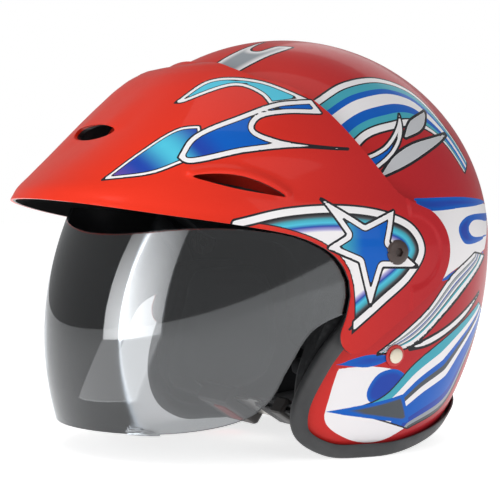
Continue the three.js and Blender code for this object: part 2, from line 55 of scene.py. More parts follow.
def catmull(points, closed=False, spacing=1.0):
    """Centripetal Catmull-Rom curve through the points, resampled at an even spacing."""
    p = np.array(points, float)
    if closed:
        p = np.vstack([p[-1], p, p[0], p[1]])
    else:
        p = np.vstack([2 * p[0] - p[1], p, 2 * p[-1] - p[-2]])
    dense = []
    for a, b, c, d in zip(p[:-3], p[1:-2], p[2:-1], p[3:]):
        k = [max(np.linalg.norm(v) ** 0.5, 1e-6) for v in (b - a, c - b, d - c)]
        start = ((b - a) / k[0] - (c - a) / (k[0] + k[1]) + (c - b) / k[1]) * k[1]
        end = ((c - b) / k[1] - (d - b) / (k[1] + k[2]) + (d - c) / k[2]) * k[1]
        dense.append(hermite(np.linspace(0, 1, 25)[:-1, None], b, c, start, end))
    return resample(np.vstack(dense + [p[-2][None]]), spacing)


def hermite(t, a, b, leaving, arriving):
    """Cubic from a to b with the given slopes at its ends."""
    return ((2 * t**3 - 3 * t**2 + 1) * a + (t**3 - 2 * t**2 + t) * leaving
            + (3 * t**2 - 2 * t**3) * b + (t**3 - t**2) * arriving)


def resample(line, spacing):
    along = np.concatenate([[0], np.cumsum(np.linalg.norm(np.diff(line, axis=0), axis=1))])
    count = max(int(round(along[-1] / spacing)), 2)
    at = np.linspace(0, along[-1], count + 1)
    return np.stack([np.interp(at, along, line[:, k]) for k in range(line.shape[1])], axis=1)


def outline(*runs, spacing=0.4):
    """Closed outline of smooth runs. Each run starts at a corner and ends where the next run starts."""
    pieces = []
    for i, run in enumerate(runs):
        corner = runs[(i + 1) % len(runs)][0]
        pieces.append(catmull(list(run) + [corner], spacing=spacing)[:-1])
    return np.vstack(pieces)


def loop(points, spacing=0.4):
    return catmull(points, closed=True, spacing=spacing)[:-1]


# ---- surfaces

# Half sizes of the dome. Below its middle it narrows as if it were an ellipsoid of the taper heights.
DOME = dict(width=126.0, length=142.0, crown=134.0, side_taper=230.0, end_taper=172.0)


def dome_section(z, grow=0.0):
    """Half width and half length of the dome at height z."""
    z = np.asarray(z, float)
    upper = np.sqrt(np.clip(1 - (z / (DOME["crown"] + grow)) ** 2, 0, None))
    side = np.where(z > 0, upper, np.sqrt(np.clip(1 - (z / DOME["side_taper"]) ** 2, 0, None)))
    end = np.where(z > 0, upper, np.sqrt(np.clip(1 - (z / DOME["end_taper"]) ** 2, 0, None)))
    return (DOME["width"] + grow) * side, (DOME["length"] + grow) * end


def dome_level(p):
    """Below zero inside the dome, above zero outside."""
    w, l = dome_section(p[:, 2])
    return (p[:, 0] / np.maximum(w, 1e-6)) ** 2 + (p[:, 1] / np.maximum(l, 1e-6)) ** 2 - 1


# Horizontal sections of the peak: height, half width, reach and squareness of the front.
PEAK_SECTIONS = np.array([
    (-72, 134, 186, 2),
    (-30, 135.4, 186, 2),
    (14, 135.4, 187, 2),
    (24, 132.8, 188.5, 2.02),
    (34, 128, 184, 2.12),
    (44, 123.6, 172, 2.3),
    (56, 118.6, 156.5, 2.6),
    (68, 112.6, 142, 2.9),
    (80, 105.4, 129.5, 3),
    (92, 96, 117.5, 3),
    (102, 85.6, 107, 3),
    (109, 76.5, 97, 3),
    (113.5, 69.5, 86, 3),
    (115.5, 64, 74, 3),
])


def peak_section(z, inset=0.0):
    """Half width, reach and squareness of the peak at height z, smooth between the listed sections."""
    height = PEAK_SECTIONS[:, 0] - np.where(PEAK_SECTIONS[:, 0] > 60, inset * 0.8, 0)
    i = np.clip(np.searchsorted(height, z) - 1, 0, len(height) - 2)
    span = height[i + 1] - height[i]
    t = np.clip((z - height[i]) / span, 0, 1)
    found = []
    for k in (1, 2, 3):
        value = PEAK_SECTIONS[:, k]
        slope = np.gradient(value, height)
        found.append(hermite(t, value[i], value[i + 1], span * slope[i], span * slope[i + 1]))
    return found[0] - inset, found[1] - inset, found[2]


def peak_radius(azimuth, z, inset=0.0):
    """Reach of the peak in a direction round from the front, in radians."""
    w, l, n = peak_section(z, inset)
    return (np.abs(np.sin(azimuth) / w) ** n + np.abs(np.cos(azimuth) / l) ** n) ** (-1 / n)


def peak_level(p):
    """Below zero inside the peak's outer surface, above zero outside."""
    azimuth = np.arctan2(p[:, 0], -p[:, 1])
    reach = np.hypot(p[:, 0], p[:, 1])
    return np.where(p[:, 2] > PEAK_SECTIONS[-1, 0], 1.0, reach / peak_radius(azimuth, p[:, 2]) - 1)


def lift(directions, level):
    """Points of a surface, from directions given as (degrees round from the front, degrees up)."""
    a, e = np.radians(directions[:, 0]), np.radians(directions[:, 1])
    ray = np.stack([np.sin(a) * np.cos(e), -np.cos(a) * np.cos(e), np.sin(e)], axis=1)
    near, far = np.full(len(ray), 60.0), np.full(len(ray), 240.0)
    for _ in range(30):
        middle = (near + far) / 2
        inside = level(ray * middle[:, None]) < 0
        near, far = np.where(inside, middle, near), np.where(inside, far, middle)
    return ray * near[:, None]


# ---- meshes

def new_mesh(name, points, faces):
    """Object from points in millimetres from the dome's centre."""
    mesh = bpy.data.meshes.new(name)
    shifted = (np.asarray(points, float) + DOME_CENTRE) / 1000
    mesh.from_pydata(shifted.tolist(), [], [tuple(f) for f in faces])
    mesh.validate()
    made = bpy.data.objects.new(name, mesh)
    bpy.context.scene.collection.objects.link(made)
    return made


def ring_stack(name, rings, closed=False):
    """Solid from rings of points, capped at both ends or joined end to end."""
    rings = np.asarray(rings, float)
    rows, count = rings.shape[:2]
    i, j = np.meshgrid(np.arange(rows if closed else rows - 1), np.arange(count), indexing="ij")
    a, b = i * count + j, i * count + (j + 1) % count
    up = ((i + 1) % rows - i) * count
    faces = np.stack([a, b, b + up, a + up], axis=-1).reshape(-1, 4).tolist()
    if not closed:
        faces += [list(range(count))[::-1], list(range((rows - 1) * count, rows * count))]
    return new_mesh(name, rings.reshape(-1, 3), faces)


def side_prism(name, profile, low=-200.0, high=200.0):
    """Side-view outline of (y, z) points carried across the helmet."""
    profile = np.asarray(profile, float)
    rings = [np.column_stack([np.full(len(profile), x), profile]) for x in (low, high)]
    return recalculate(ring_stack(name, rings))


def front_prism(name, profile, low, high):
    """Front-view outline of (x, z) points carried along Y."""
    rings = [np.column_stack([profile[:, 0], np.full(len(profile), y), profile[:, 1]]) for y in (low, high)]
    return recalculate(ring_stack(name, rings))


def recalculate(made):
    """Turn every face outward."""
    work = bmesh.new()
    work.from_mesh(made.data)
    bmesh.ops.recalc_face_normals(work, faces=work.faces)
    work.to_mesh(made.data)
    work.free()
    return made


def round_points(centre, radii, turn):
    """Points of an ellipse, or of part of one."""
    return np.column_stack([centre[0] + radii[0] * np.cos(turn), centre[1] + radii[1] * np.sin(turn)])


def cross_cylinder(name, radius, low, high, y, z, sides=64):
    turn = np.linspace(0, 2 * math.pi, sides, endpoint=False)
    return side_prism(name, round_points((y, z), (radius, radius), turn), low, high)


def boolean(made, other, operation):
    cut = made.modifiers.new("cut", "BOOLEAN")
    cut.solver = "MANIFOLD"
    cut.operation = operation
    cut.object = other
    apply_modifiers(made)
    bpy.data.objects.remove(other)
    return made


def apply_modifiers(made):
    bpy.context.view_layer.update()
    evaluated = made.evaluated_get(bpy.context.evaluated_depsgraph_get())
    baked = bpy.data.meshes.new_from_object(evaluated)
    made.modifiers.clear()
    made.data = baked


def coordinates(made):
    """Vertex positions in millimetres from the dome's centre."""
    co = np.zeros(len(made.data.vertices) * 3)
    made.data.vertices.foreach_get("co", co)
    return co.reshape(-1, 3) * 1000 - DOME_CENTRE


def set_coordinates(made, points):
    made.data.vertices.foreach_set("co", ((points + DOME_CENTRE) / 1000).ravel())
    made.data.update()


def dome_rings(grow, columns, upper, lower, foot=-140.0):
    """Rings of the dome, grown by some millimetres, from the foot up to its top."""
    turn = np.linspace(0, 2 * math.pi, columns, endpoint=False)
    heights = list(np.linspace(foot, 0, lower, endpoint=False))
    heights += list((DOME["crown"] + grow) * np.sin(np.linspace(0, math.pi / 2, upper, endpoint=False)))
    heights.append((DOME["crown"] + grow) * 0.99998)
    rings = []
    for z in heights:
        w, l = dome_section(z, grow)
        rings.append(np.column_stack([w * np.sin(turn), -l * np.cos(turn), np.full(columns, z)]))
    return rings


# ---- artwork fields

def inside(points, polygon):
    """True for 2-D points inside a closed polygon."""
    hit = np.zeros(len(points), bool)
    x, y = points[:, 0], points[:, 1]
    for (x0, y0), (x1, y1) in zip(polygon, np.roll(polygon, -1, axis=0)):
        if y0 != y1:
            hit ^= ((y0 > y) != (y1 > y)) & (x < (x1 - x0) * (y - y0) / (y1 - y0) + x0)
    return hit


def distance(points, line):
    """Distance from each 3-D point to the nearest point of a dense line."""
    found = np.full(len(points), 1e9)
    for part in np.array_split(line, max(1, len(line) // 40)):
        gap = np.linalg.norm(points[:, None, :] - part[None], axis=2)
        found = np.minimum(found, gap.min(axis=1))
    return found


class Canvas:
    """Signed distances in mm from artwork outlines to the vertices of a painted piece, above zero inside."""

    def __init__(self, made, level):
        self.made = made
        self.level = level
        # Both sides carry the same artwork, so the right side is folded onto the left.
        self.points = coordinates(made)
        self.points[:, 0] = np.abs(self.points[:, 0])
        flat = np.hypot(self.points[:, 0], self.points[:, 1])
        around = np.degrees(np.arctan2(self.points[:, 0], -self.points[:, 1]))
        self.directions = np.column_stack([around, np.degrees(np.arctan2(self.points[:, 2], flat))])

    def near(self, line, margin=9.0):
        low, high = line.min(axis=0) - margin, line.max(axis=0) + margin
        return np.where(((self.points > low) & (self.points < high)).all(axis=1))[0]

    def field(self, shapes):
        value = np.full(len(self.points), -9.0)
        for shape in shapes:
            line = resample(lift(resample(np.vstack([shape, shape[:1]]), 0.4), self.level), 0.5)
            pick = self.near(line)
            sign = np.where(inside(self.directions[pick], shape), 1.0, -1.0)
            value[pick] = np.maximum(value[pick], sign * distance(self.points[pick], line))
        return value

    def share(self, first, second):
        """0 on the first curve, 1 on the second, for a band painted between them."""
        a, b = (lift(curve, self.level) for curve in (first, second))
        pick = self.near(np.vstack([a, b]))
        value = np.zeros(len(self.points))
        da, db = distance(self.points[pick], a), distance(self.points[pick], b)
        value[pick] = da / np.maximum(da + db, 1e-6)
        return value

    def paint(self, name, value):
        attribute = self.made.data.attributes.new(name, "FLOAT", "POINT")
        attribute.data.foreach_set("value", np.asarray(value, np.float32))

    def shapes(self, name, *outlines):
        self.paint(name, self.field(outlines))

    def band(self, name, first, second):
        """A band between two curves, with its share field for stripes along it."""
        self.shapes(name, np.vstack([first, second[::-1]]))
        self.paint(f"{name}_share", self.share(first, second))


# ---- materials

# Shell and peak red: the front tone carries painted light and the back tone carries painted shade, on top of
# the pearl paint's own shift.
RED_FRONT_LIT = (0.72, 0.032, 0.012)
RED_BACK_SHADED = (0.40, 0.016, 0.026)
WHITE = (0.80, 0.78, 0.79)
GREY = (0.30, 0.33, 0.36)
SLATE = (0.075, 0.085, 0.095)
INK = (0.020, 0.020, 0.024)
BLUE = (0.004, 0.105, 0.48)
DEEP_BLUE = (0.015, 0.055, 0.36)
TEAL = (0.055, 0.36, 0.45)
CYAN = (0.075, 0.50, 0.66)
VIOLET = (0.20, 0.075, 0.30)
PALE_VIOLET = (0.36, 0.34, 0.62)


class Shader:
    """Short names for building one material's nodes."""

    def __init__(self, name):
        self.material = bpy.data.materials.new(name)
        self.material.use_nodes = True
        self.tree = self.material.node_tree
        self.tree.nodes.clear()
        self.output = self.tree.nodes.new("ShaderNodeOutputMaterial")

    def node(self, kind, inputs=None, **settings):
        made = self.tree.nodes.new("ShaderNode" + kind)
        for key, value in settings.items():
            setattr(made, key, value)
        for key, value in (inputs or {}).items():
            self.plug(made.inputs[key], value)
        return made

    def plug(self, socket, value):
        if isinstance(value, bpy.types.NodeSocket):
            self.tree.links.new(value, socket)
        elif isinstance(value, tuple) and len(value) == 3 and socket.type == "RGBA":
            socket.default_value = (*value, 1.0)
        else:
            socket.default_value = value

    def maths(self, operation, a, b=0.0, clamp=False):
        return self.node("Math", {0: a, 1: b}, operation=operation, use_clamp=clamp).outputs[0]

    def above(self, value, edge):
        return self.maths("GREATER_THAN", value, edge)

    def fade(self, value, low, high):
        inputs = {"Value": value, "From Min": low, "From Max": high, "To Min": 0.0, "To Max": 1.0}
        return self.node("MapRange", inputs, interpolation_type="SMOOTHSTEP").outputs[0]

    def mix(self, factor, a, b):
        made = self.node("Mix", data_type="RGBA")
        self.plug(made.inputs[0], factor)
        self.plug(made.inputs[6], a)
        self.plug(made.inputs[7], b)
        return made.outputs[2]

    def field(self, name):
        return self.node("Attribute", attribute_name=name).outputs["Fac"]

    def ramp(self, value, stops, interpolation="CONSTANT"):
        made = self.node("ValToRGB", {0: value})
        band = made.color_ramp
        band.interpolation = interpolation
        while len(band.elements) < len(stops):
            band.elements.new(0.5)
        for element, (position, colour) in zip(band.elements, sorted(stops, key=lambda s: s[0])):
            element.position = position
            element.color = (*colour, 1.0)
        return made.outputs[0]

    def place(self):
        return self.node("TexCoord").outputs["Object"]

    def noise(self, scale, detail=3.0, roughness=0.55, stretch=None):
        at = self.place()
        if stretch:
            at = self.node("Mapping", {"Vector": at, "Scale": stretch}).outputs[0]
        made = self.node("TexNoise", {"Vector": at, "Scale": scale, "Detail": detail, "Roughness": roughness})
        return made.outputs["Fac"]

    def wave(self, scale, distortion, direction):
        inputs = {"Vector": self.place(), "Scale": scale, "Distortion": distortion}
        return self.node("TexWave", inputs, bands_direction=direction).outputs["Fac"]

    def cells(self, scale):
        return self.node("TexVoronoi", {"Vector": self.place(), "Scale": scale}).outputs["Distance"]

    def height(self, *axes):
        """Coordinates in metres from the dome's centre."""
        centre = tuple(DOME_CENTRE / 1000)
        moved = self.node("VectorMath", {0: self.place(), 1: centre}, operation="SUBTRACT").outputs[0]
        split = self.node("SeparateXYZ", {0: moved})
        return [split.outputs[a] for a in axes]

    def bump(self, height, strength, depth):
        return self.node("Bump", {"Height": height, "Strength": strength, "Distance": depth}).outputs[0]

    def surface(self, **inputs):
        keys = {key.replace("_", " "): value for key, value in inputs.items()}
        made = self.node("BsdfPrincipled", keys)
        self.tree.links.new(made.outputs[0], self.output.inputs["Surface"])
        return self.material


def scuffs(shader, low, high):
    """Roughness that wanders between two values, with fine rubbed patches."""
    broad = shader.noise(14.0, 4.0)
    fine = shader.noise(240.0, 2.0)
    both = shader.maths("ADD", shader.maths("MULTIPLY", broad, 0.75), shader.maths("MULTIPLY", fine, 0.25))
    inputs = {"Value": both, "From Min": 0.3, "From Max": 0.7, "To Min": low, "To Max": high}
    return shader.node("MapRange", inputs).outputs[0]


def red_base(shader):
    """Pearl red that runs from orange red at the front to crimson at the back, with a fine flake. The run is
    partly the pearl paint's own tone, partly painted light at the front and painted shade at the back.
    """
    (y,) = shader.height("Y")
    red = shader.mix(shader.fade(y, -0.17, 0.08), RED_FRONT_LIT, RED_BACK_SHADED)
    flake = shader.fade(shader.cells(2600.0), 0.55, 0.1)
    return shader.mix(shader.maths("MULTIPLY", flake, 0.06), red, (1.0, 0.14, 0.08))


def outlined(shader, below, name, fill, line=1.0, border=0.0):
    """Paint a shape: a dark line round it, an optional white border inside the line, then the fill."""
    value = shader.field(name)
    painted = shader.mix(shader.above(value, -line), below, INK)
    if border:
        painted = shader.mix(shader.above(value, 0.0), painted, WHITE)
        painted = shader.mix(shader.above(value, border), painted, INK)
        return shader.mix(shader.above(value, border + line * 0.6), painted, fill)
    return shader.mix(shader.above(value, 0.0), painted, fill)


def clear_coated(shader, colour):
    ripple = shader.noise(900.0, 1.0)
    return shader.surface(
        Base_Color=colour, Roughness=scuffs(shader, 0.30, 0.42), Metallic=0.05, Specular_IOR_Level=0.06,
        Coat_Weight=0.2, Coat_Roughness=0.05, Normal=shader.bump(ripple, 0.04, 0.0001))


def shell_paint():
    s = Shader("shell_paint")
    colour = red_base(s)
    silver = s.mix(s.fade(s.field("ghost"), 0.5, 6.0), WHITE, GREY)
    colour = outlined(s, colour, "ghost", silver, 1.6)
    stripes = [(0.0, WHITE), (0.10, INK), (0.125, TEAL), (0.26, BLUE), (0.37, WHITE), (0.58, BLUE),
               (0.75, TEAL), (0.86, INK), (0.89, WHITE)]
    colour = outlined(s, colour, "rainbow", s.ramp(s.field("rainbow_share"), stripes), 1.4)
    colour = outlined(s, colour, "blade", BLUE, 1.4, 2.0)
    shade = s.ramp(s.field("quill"), [(0.0, WHITE), (0.35, GREY), (1.0, GREY)], "EASE")
    colour = outlined(s, colour, "quill", s.mix(0.6, WHITE, shade), 1.8)
    colour = outlined(s, colour, "patch", WHITE, 0.0)
    blues = s.mix(s.fade(s.field("blue_patch"), 0.5, 4.0), BLUE, DEEP_BLUE)
    colour = outlined(s, colour, "blue_patch", blues, 0.0)
    fan = [(0.0, INK), (0.03, WHITE), (0.17, SLATE), (0.20, GREY), (0.30, WHITE), (0.37, DEEP_BLUE),
           (0.42, GREY), (0.52, WHITE), (0.60, SLATE), (0.66, TEAL), (0.74, WHITE), (0.93, INK)]
    colour = outlined(s, colour, "upper_fan", s.ramp(s.field("upper_fan_share"), fan), 1.2)
    tail = [(0.0, TEAL), (0.14, WHITE), (0.26, BLUE), (0.34, SLATE), (0.42, WHITE), (0.52, BLUE),
            (0.78, DEEP_BLUE), (0.88, GREY), (0.95, SLATE)]
    colour = outlined(s, colour, "lower_fan", s.ramp(s.field("lower_fan_share"), tail), 1.0)
    colour = outlined(s, colour, "feather", WHITE, 1.8)
    colour = outlined(s, colour, "spike", s.mix(s.fade(s.field("spike"), 1.6, 3.2), BLUE, SLATE), 0.0)
    # Painted shade: the inside of the shell is painted near black, standing in for the shade inside the
    # helmet.
    colour = s.mix(s.above(s.field("inner"), 0.5), colour, (0.02, 0.02, 0.022))
    return clear_coated(s, colour)


def peak_paint():
    s = Shader("peak_paint")
    colour = red_base(s)
    y, z = s.height("Y", "Z")
    along = s.fade(s.maths("ADD", y, s.maths("MULTIPLY", z, 0.6)), -0.153, -0.023)
    front = [(0.0, VIOLET), (0.22, DEEP_BLUE), (0.45, CYAN), (0.72, DEEP_BLUE), (1.0, BLUE)]
    colour = outlined(s, colour, "front_flame", s.ramp(along, front, "EASE"), 1.1, 1.4)
    side = s.ramp(along, [(0.0, CYAN), (0.45, CYAN), (0.62, DEEP_BLUE), (0.8, BLUE), (1.0, BLUE)], "EASE")
    top = s.ramp(along, [(0.0, TEAL), (0.6, TEAL), (0.72, BLUE), (0.86, CYAN)], "EASE")
    colour = outlined(s, colour, "upper_flame", top, 1.2, 2.2)
    colour = outlined(s, colour, "side_flame", side, 1.2, 2.8)
    bands = [(0.0, INK), (0.19, INK), (0.26, SLATE), (0.36, TEAL), (0.48, CYAN), (0.60, DEEP_BLUE),
             (0.72, PALE_VIOLET), (0.80, WHITE), (1.0, WHITE)]
    ear = s.ramp(s.maths("MULTIPLY", s.field("ear_depth"), 1 / 17.0), bands, "LINEAR")
    colour = outlined(s, colour, "ear_field", ear, 0.8)
    colour = s.mix(s.above(s.field("ear_band"), -1.3), colour, INK)
    colour = s.mix(s.above(s.field("ear_band"), 0.0), colour, WHITE)
    star = s.ramp(s.fade(y, -0.045, 0.0), [(0.0, TEAL), (0.5, BLUE), (1.0, BLUE)], "EASE")
    colour = outlined(s, colour, "star", star, 1.4, 2.9)
    # Painted shade: the underside of the peak is painted near black where the brim shades it.
    colour = s.mix(s.above(s.field("underside_shade"), 0.5), colour, (0.03, 0.03, 0.032))
    return clear_coated(s, colour)


def rubber(name="rubber"):
    s = Shader(name)
    grain = s.noise(420.0, 4.0)
    colour = s.mix(s.fade(s.noise(35.0), 0.35, 0.7), (0.030, 0.031, 0.033), (0.055, 0.056, 0.058))
    return s.surface(Base_Color=colour, Roughness=scuffs(s, 0.48, 0.66), Normal=s.bump(grain, 0.25, 0.0004))


def smoke():
    """Smoked sheet with a gloss surface: each face lets less light through the more it is seen at a slant."""
    s = Shader("smoke")
    slant = s.node("LayerWeight", {"Blend": 0.5}).outputs["Facing"]
    haze = s.maths("ADD", slant, s.maths("MULTIPLY", s.noise(60.0), 0.02))
    stops = [(0.0, (0.60, 0.61, 0.62)), (0.55, (0.54, 0.55, 0.56)), (0.85, (0.42, 0.43, 0.44)),
             (1.0, (0.2, 0.2, 0.2))]
    clear = s.node("BsdfTransparent", {"Color": s.ramp(haze, stops, "EASE")}).outputs[0]
    shine = s.node("BsdfGlossy", {"Color": (0.92, 0.94, 0.96), "Roughness": scuffs(s, 0.02, 0.05)}).outputs[0]
    mirror = s.node("Fresnel", {"IOR": 1.8}).outputs[0]
    both = s.node("MixShader", {0: mirror, 1: clear, 2: shine}).outputs[0]
    s.tree.links.new(both, s.output.inputs["Surface"])
    return s.material


def bead_foam():
    s = Shader("eps")
    cell = s.cells(260.0)
    colour = s.mix(s.fade(cell, 0.1, 0.6), (0.030, 0.031, 0.034), (0.016, 0.017, 0.019))
    return s.surface(Base_Color=colour, Roughness=scuffs(s, 0.8, 0.95), Normal=s.bump(cell, 0.5, 0.0006))


def lining_cloth():
    s = Shader("lining")
    knit = s.maths("MULTIPLY", s.wave(330.0, 1.2, "Y"), s.wave(330.0, 1.2, "Z"))
    pile = s.maths("ADD", knit, s.noise(700.0, 3.0))
    # Black cloth, darkened further as painted shade for the inside of the helmet.
    colour = s.mix(s.fade(pile, 0.3, 1.2), (0.008, 0.009, 0.011), (0.014, 0.015, 0.018))
    return s.surface(Base_Color=colour, Roughness=scuffs(s, 0.85, 1.0), Sheen_Weight=0.12,
                     Sheen_Roughness=0.5, Normal=s.bump(pile, 0.15, 0.0002))


def webbing():
    s = Shader("webbing")
    weave = s.maths("ADD", s.wave(210.0, 0.4, "DIAGONAL"), s.wave(300.0, 0.2, "X"))
    colour = s.mix(s.fade(weave, 0.4, 1.7), (0.006, 0.006, 0.007), (0.030, 0.030, 0.033))
    return s.surface(Base_Color=colour, Roughness=scuffs(s, 0.7, 0.9), Sheen_Weight=0.2,
                     Normal=s.bump(weave, 0.5, 0.0004))


def moulded(name, colour, worn, low=0.35, high=0.55):
    """Moulded plastic with a fine spark-eroded grain and paler rubbed patches."""
    s = Shader(name)
    grain = s.noise(700.0, 3.0)
    painted = s.mix(s.fade(s.noise(45.0, 5.0), 0.5, 0.8), colour, worn)
    return s.surface(Base_Color=painted, Roughness=scuffs(s, low, high), Normal=s.bump(grain, 0.2, 0.0003))


def plated_steel():
    s = Shader("steel")
    brushed = s.noise(90.0, 4.0, 0.6, stretch=(1.0, 14.0, 1.0))
    colour = s.mix(s.fade(brushed, 0.35, 0.7), (0.52, 0.50, 0.46), (0.70, 0.69, 0.66))
    return s.surface(Base_Color=colour, Metallic=1.0, Roughness=scuffs(s, 0.24, 0.42),
                     Normal=s.bump(brushed, 0.1, 0.0002))


def enamel_rivet():
    """Cream enamel over steel, thin at the rim."""
    s = Shader("cream_enamel")
    chip = s.fade(s.noise(180.0, 5.0), 0.62, 0.68)
    colour = s.mix(chip, (0.72, 0.66, 0.52), (0.45, 0.42, 0.38))
    return s.surface(Base_Color=colour, Roughness=scuffs(s, 0.25, 0.4), Metallic=0.1,
                     Normal=s.bump(s.noise(300.0), 0.1, 0.0002))


# ---- finishing a piece

def finish(made, material, body, slot, *nodes, sharp=32):
    """Shade a piece, give it its material, put it on its body and let it stand for its CAD nodes."""
    made.data.shade_smooth()
    made.data.set_sharp_from_angle(angle=math.radians(sharp))
    made.data.materials.clear()
    made.data.materials.append(material)
    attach(made, body)
    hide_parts(*nodes)
    return made


def domed_layer(name, outer, inner, profile, columns, upper, lower):
    """The part of a layer between two offsets of the dome that lies inside a side-view outline."""
    made = ring_stack(name, dome_rings(outer, columns, upper, lower))
    hollow = ring_stack("hollow", dome_rings(inner, columns // 3, upper // 2, lower // 2, foot=-150.0))
    boolean(made, hollow, "DIFFERENCE")
    return boolean(made, side_prism("keep", profile), "INTERSECT")


def dome_normal(p):
    """Outward direction of the dome's surface at points on or near it."""
    w, l = dome_section(p[:, 2])
    above = p[:, 2] > 0
    side = np.where(above, DOME["crown"], DOME["side_taper"])
    end = np.where(above, DOME["crown"], DOME["end_taper"])
    rise = (p[:, 0] * DOME["width"] / (side * w**2)) ** 2 + (p[:, 1] * DOME["length"] / (end * l**2)) ** 2
    out = np.column_stack([p[:, 0] / w**2, p[:, 1] / l**2, p[:, 2] * rise])
    return out / np.linalg.norm(out, axis=1)[:, None]


def unit(v):
    return v / np.linalg.norm(v, axis=-1, keepdims=True)


def lathe(name, profile, origin, axis, sides=72, closed=False):
    """Solid of revolution from (radius, distance along the axis) points, capped or going round a bore."""
    axis = unit(np.array(axis, float))
    across = unit(np.cross(axis, (0.0, 0.3, 1.0)))
    turn = np.linspace(0, 2 * math.pi, sides, endpoint=False)[:, None]
    ring = np.cos(turn) * across + np.sin(turn) * np.cross(axis, across)
    rings = [np.array(origin) + r * ring + h * axis for r, h in profile]
    return recalculate(ring_stack(name, rings, closed))


def eased(profile, radius, steps=3):
    """Round the corners of a closed profile of (a, b) points."""
    p = np.array(profile, float)
    found = []
    for before, here, after in zip(np.roll(p, 1, axis=0), p, np.roll(p, -1, axis=0)):
        a, b = before - here, after - here
        la, lb = np.linalg.norm(a), np.linalg.norm(b)
        cut = min(radius, la * 0.45, lb * 0.45)
        start, end = here + a / la * cut, here + b / lb * cut
        for t in np.linspace(0, 1, steps + 1):
            found.append((1 - t) ** 2 * start + 2 * t * (1 - t) * here + t**2 * end)
    return np.array(found)


# ---- shell and edge trim

SHELL_EDGE = catmull([
    (-156, 40), (-112, 34), (-70, 23), (-32, 5), (-15, -20), (-22, -42), (-40, -70), (-49, -98), (-45, -115),
    (-27, -126.4), (-4, -128.4), (16, -128.4), (46, -124), (75, -117), (97, -109.5), (112, -104.5),
    (122, -103.5), (156, -103.5),
], spacing=1.2)

RIVET_PLACE = (9.0, -68.0)


def rivet_seat(side):
    """Where the strap rivet goes through the shell, and the direction square to the shell there."""
    y, z = RIVET_PLACE
    w, l = dome_section(z)
    point = np.array([[w * math.sqrt(1 - (y / l) ** 2), y, z]])
    mirror = np.array([side, 1, 1])
    return point[0] * mirror, dome_normal(point)[0] * mirror


def drill_rivet(made, side, radius):
    seat, out = rivet_seat(side)
    boolean(made, lathe("bore", [(radius, -20), (radius, 8)], seat, out, 32), "DIFFERENCE")


def bore_pivots(made, radius):
    """Hole for the pivot screw through each side."""
    for _, side in SIDES:
        boolean(made, cross_cylinder("bore", radius, *sorted((side * 100, side * 150)), *PIVOT), "DIFFERENCE")


def painted_shell():
    keep = np.vstack([[(-170, 150)], SHELL_EDGE, [(170, 150)]])
    made = domed_layer("painted_shell", 0.0, -SHELL_WALL, keep, 420, 105, 62)
    bore_pivots(made, 5.3)
    for _, side in SIDES:
        drill_rivet(made, side, 3.4)
    canvas = Canvas(made, dome_level)
    shell_artwork(canvas)
    # Mask of the shell's inside, which is painted near black as painted shade.
    canvas.paint("inner", dome_level(canvas.points) < -0.02)
    return finish(made, shell_paint(), "helmet", "shell_paint", "outer_shell", sharp=40)


def edge_path(count):
    """The middle of the shell's edge as one closed loop."""
    y, z = resample(SHELL_EDGE, 0.2).T
    w, l = dome_section(z, -SHELL_WALL / 2)
    keep = np.abs(y) < l
    y, z, w, l = y[keep], z[keep], w[keep], l[keep]
    left = np.column_stack([w * np.sqrt(1 - (y / l) ** 2), y, z])
    ends = [np.array([[0, math.copysign(length, at), height]])
            for at, length, height in ((y[0], l[0], z[0]), (y[-1], l[-1], z[-1]))]
    right = (left * (-1, 1, 1))[::-1]
    closed = np.vstack([ends[0], left, ends[1], right, ends[0]])
    return resample(closed, np.sum(np.linalg.norm(np.diff(closed, axis=0), axis=1)) / count)[:-1]


def rubber_edging():
    """Rubber channel pushed onto the shell's edge, with a full round back and thin lips."""
    turn = np.linspace(0, math.pi, 11)
    back = np.column_stack([4.4 * np.cos(turn), 0.6 + 3.4 * np.sin(turn)])
    lip = np.array([(3.2, -6.6), (3.9, -6.7), (4.35, -6.2), (4.45, -3.0)])
    channel = [(-2.9, -6.2), (-2.9, 2.5), (2.9, 2.5), (2.9, -6.2)]
    profile = np.vstack([lip, back, (lip * (-1, 1))[::-1], channel])

    path = edge_path(520)
    tangents = unit(np.roll(path, -1, axis=0) - np.roll(path, 1, axis=0))
    out = dome_normal(path)
    out = unit(out - np.sum(out * tangents, axis=1)[:, None] * tangents)
    past = np.cross(out, tangents)
    rings = path[:, None] + profile[None, :, :1] * out[:, None] - profile[None, :, 1:] * past[:, None]
    made = recalculate(ring_stack("rubber_edging", rings, closed=True))
    points = coordinates(made)
    points[:, 2] = np.maximum(points[:, 2], -REST_HEIGHT)
    set_coordinates(made, points)
    return finish(made, rubber(), "helmet", "rubber", "edge_trim", sharp=50)


# ---- peak

PEAK_BACK = [(-76, 112), (-66, 103.5), (-45, 96), (-31, 83), (-18, 66), (-4, 46), (7, 31), (18, 24.5)]
EAR_CENTRE = (10.5, -4.0)
EAR_RADIUS = 30.0
SLOT_LINE = [(-119, 41.5), (-106, 43), (-92, 41.5), (-78, 36), (-69, 29.5), (-80, 31), (-96, 34), (-110, 38)]
BRIM = [(-31.5, -21), (-36, -12), (-43, -4.5), (-53, 1.5), (-66, 6.5), (-90, 11.5), (-141, 20), (-200, 31)]
VENT = dict(half_width=31.0, half_height=5.0, z=70.0)
HOOD_HEIGHT = 3.4
SCOOP_DEPTH = 1.2
EAR_STEP = 0.8


def peak_outline():
    """Side view: back edge over the shell, round ear, ear tip, brim."""
    back = catmull([(-76, 116)] + PEAK_BACK, spacing=1.2)
    turn = 1.0 - np.linspace(0, 1.88, 60)
    ear = round_points(EAR_CENTRE, (EAR_RADIUS, EAR_RADIUS), turn)
    tip = catmull([(12, -39.5), (-8, -53.5), (-21, -62.5), (-29, -64.5), (-35, -60), (-36.5, -53), (-33, -42),
                   (-30.5, -30)], spacing=1.0)
    return np.vstack([[(-76, 140)], back, ear, tip, catmull(BRIM, spacing=1.2), [(-200, 140)]])


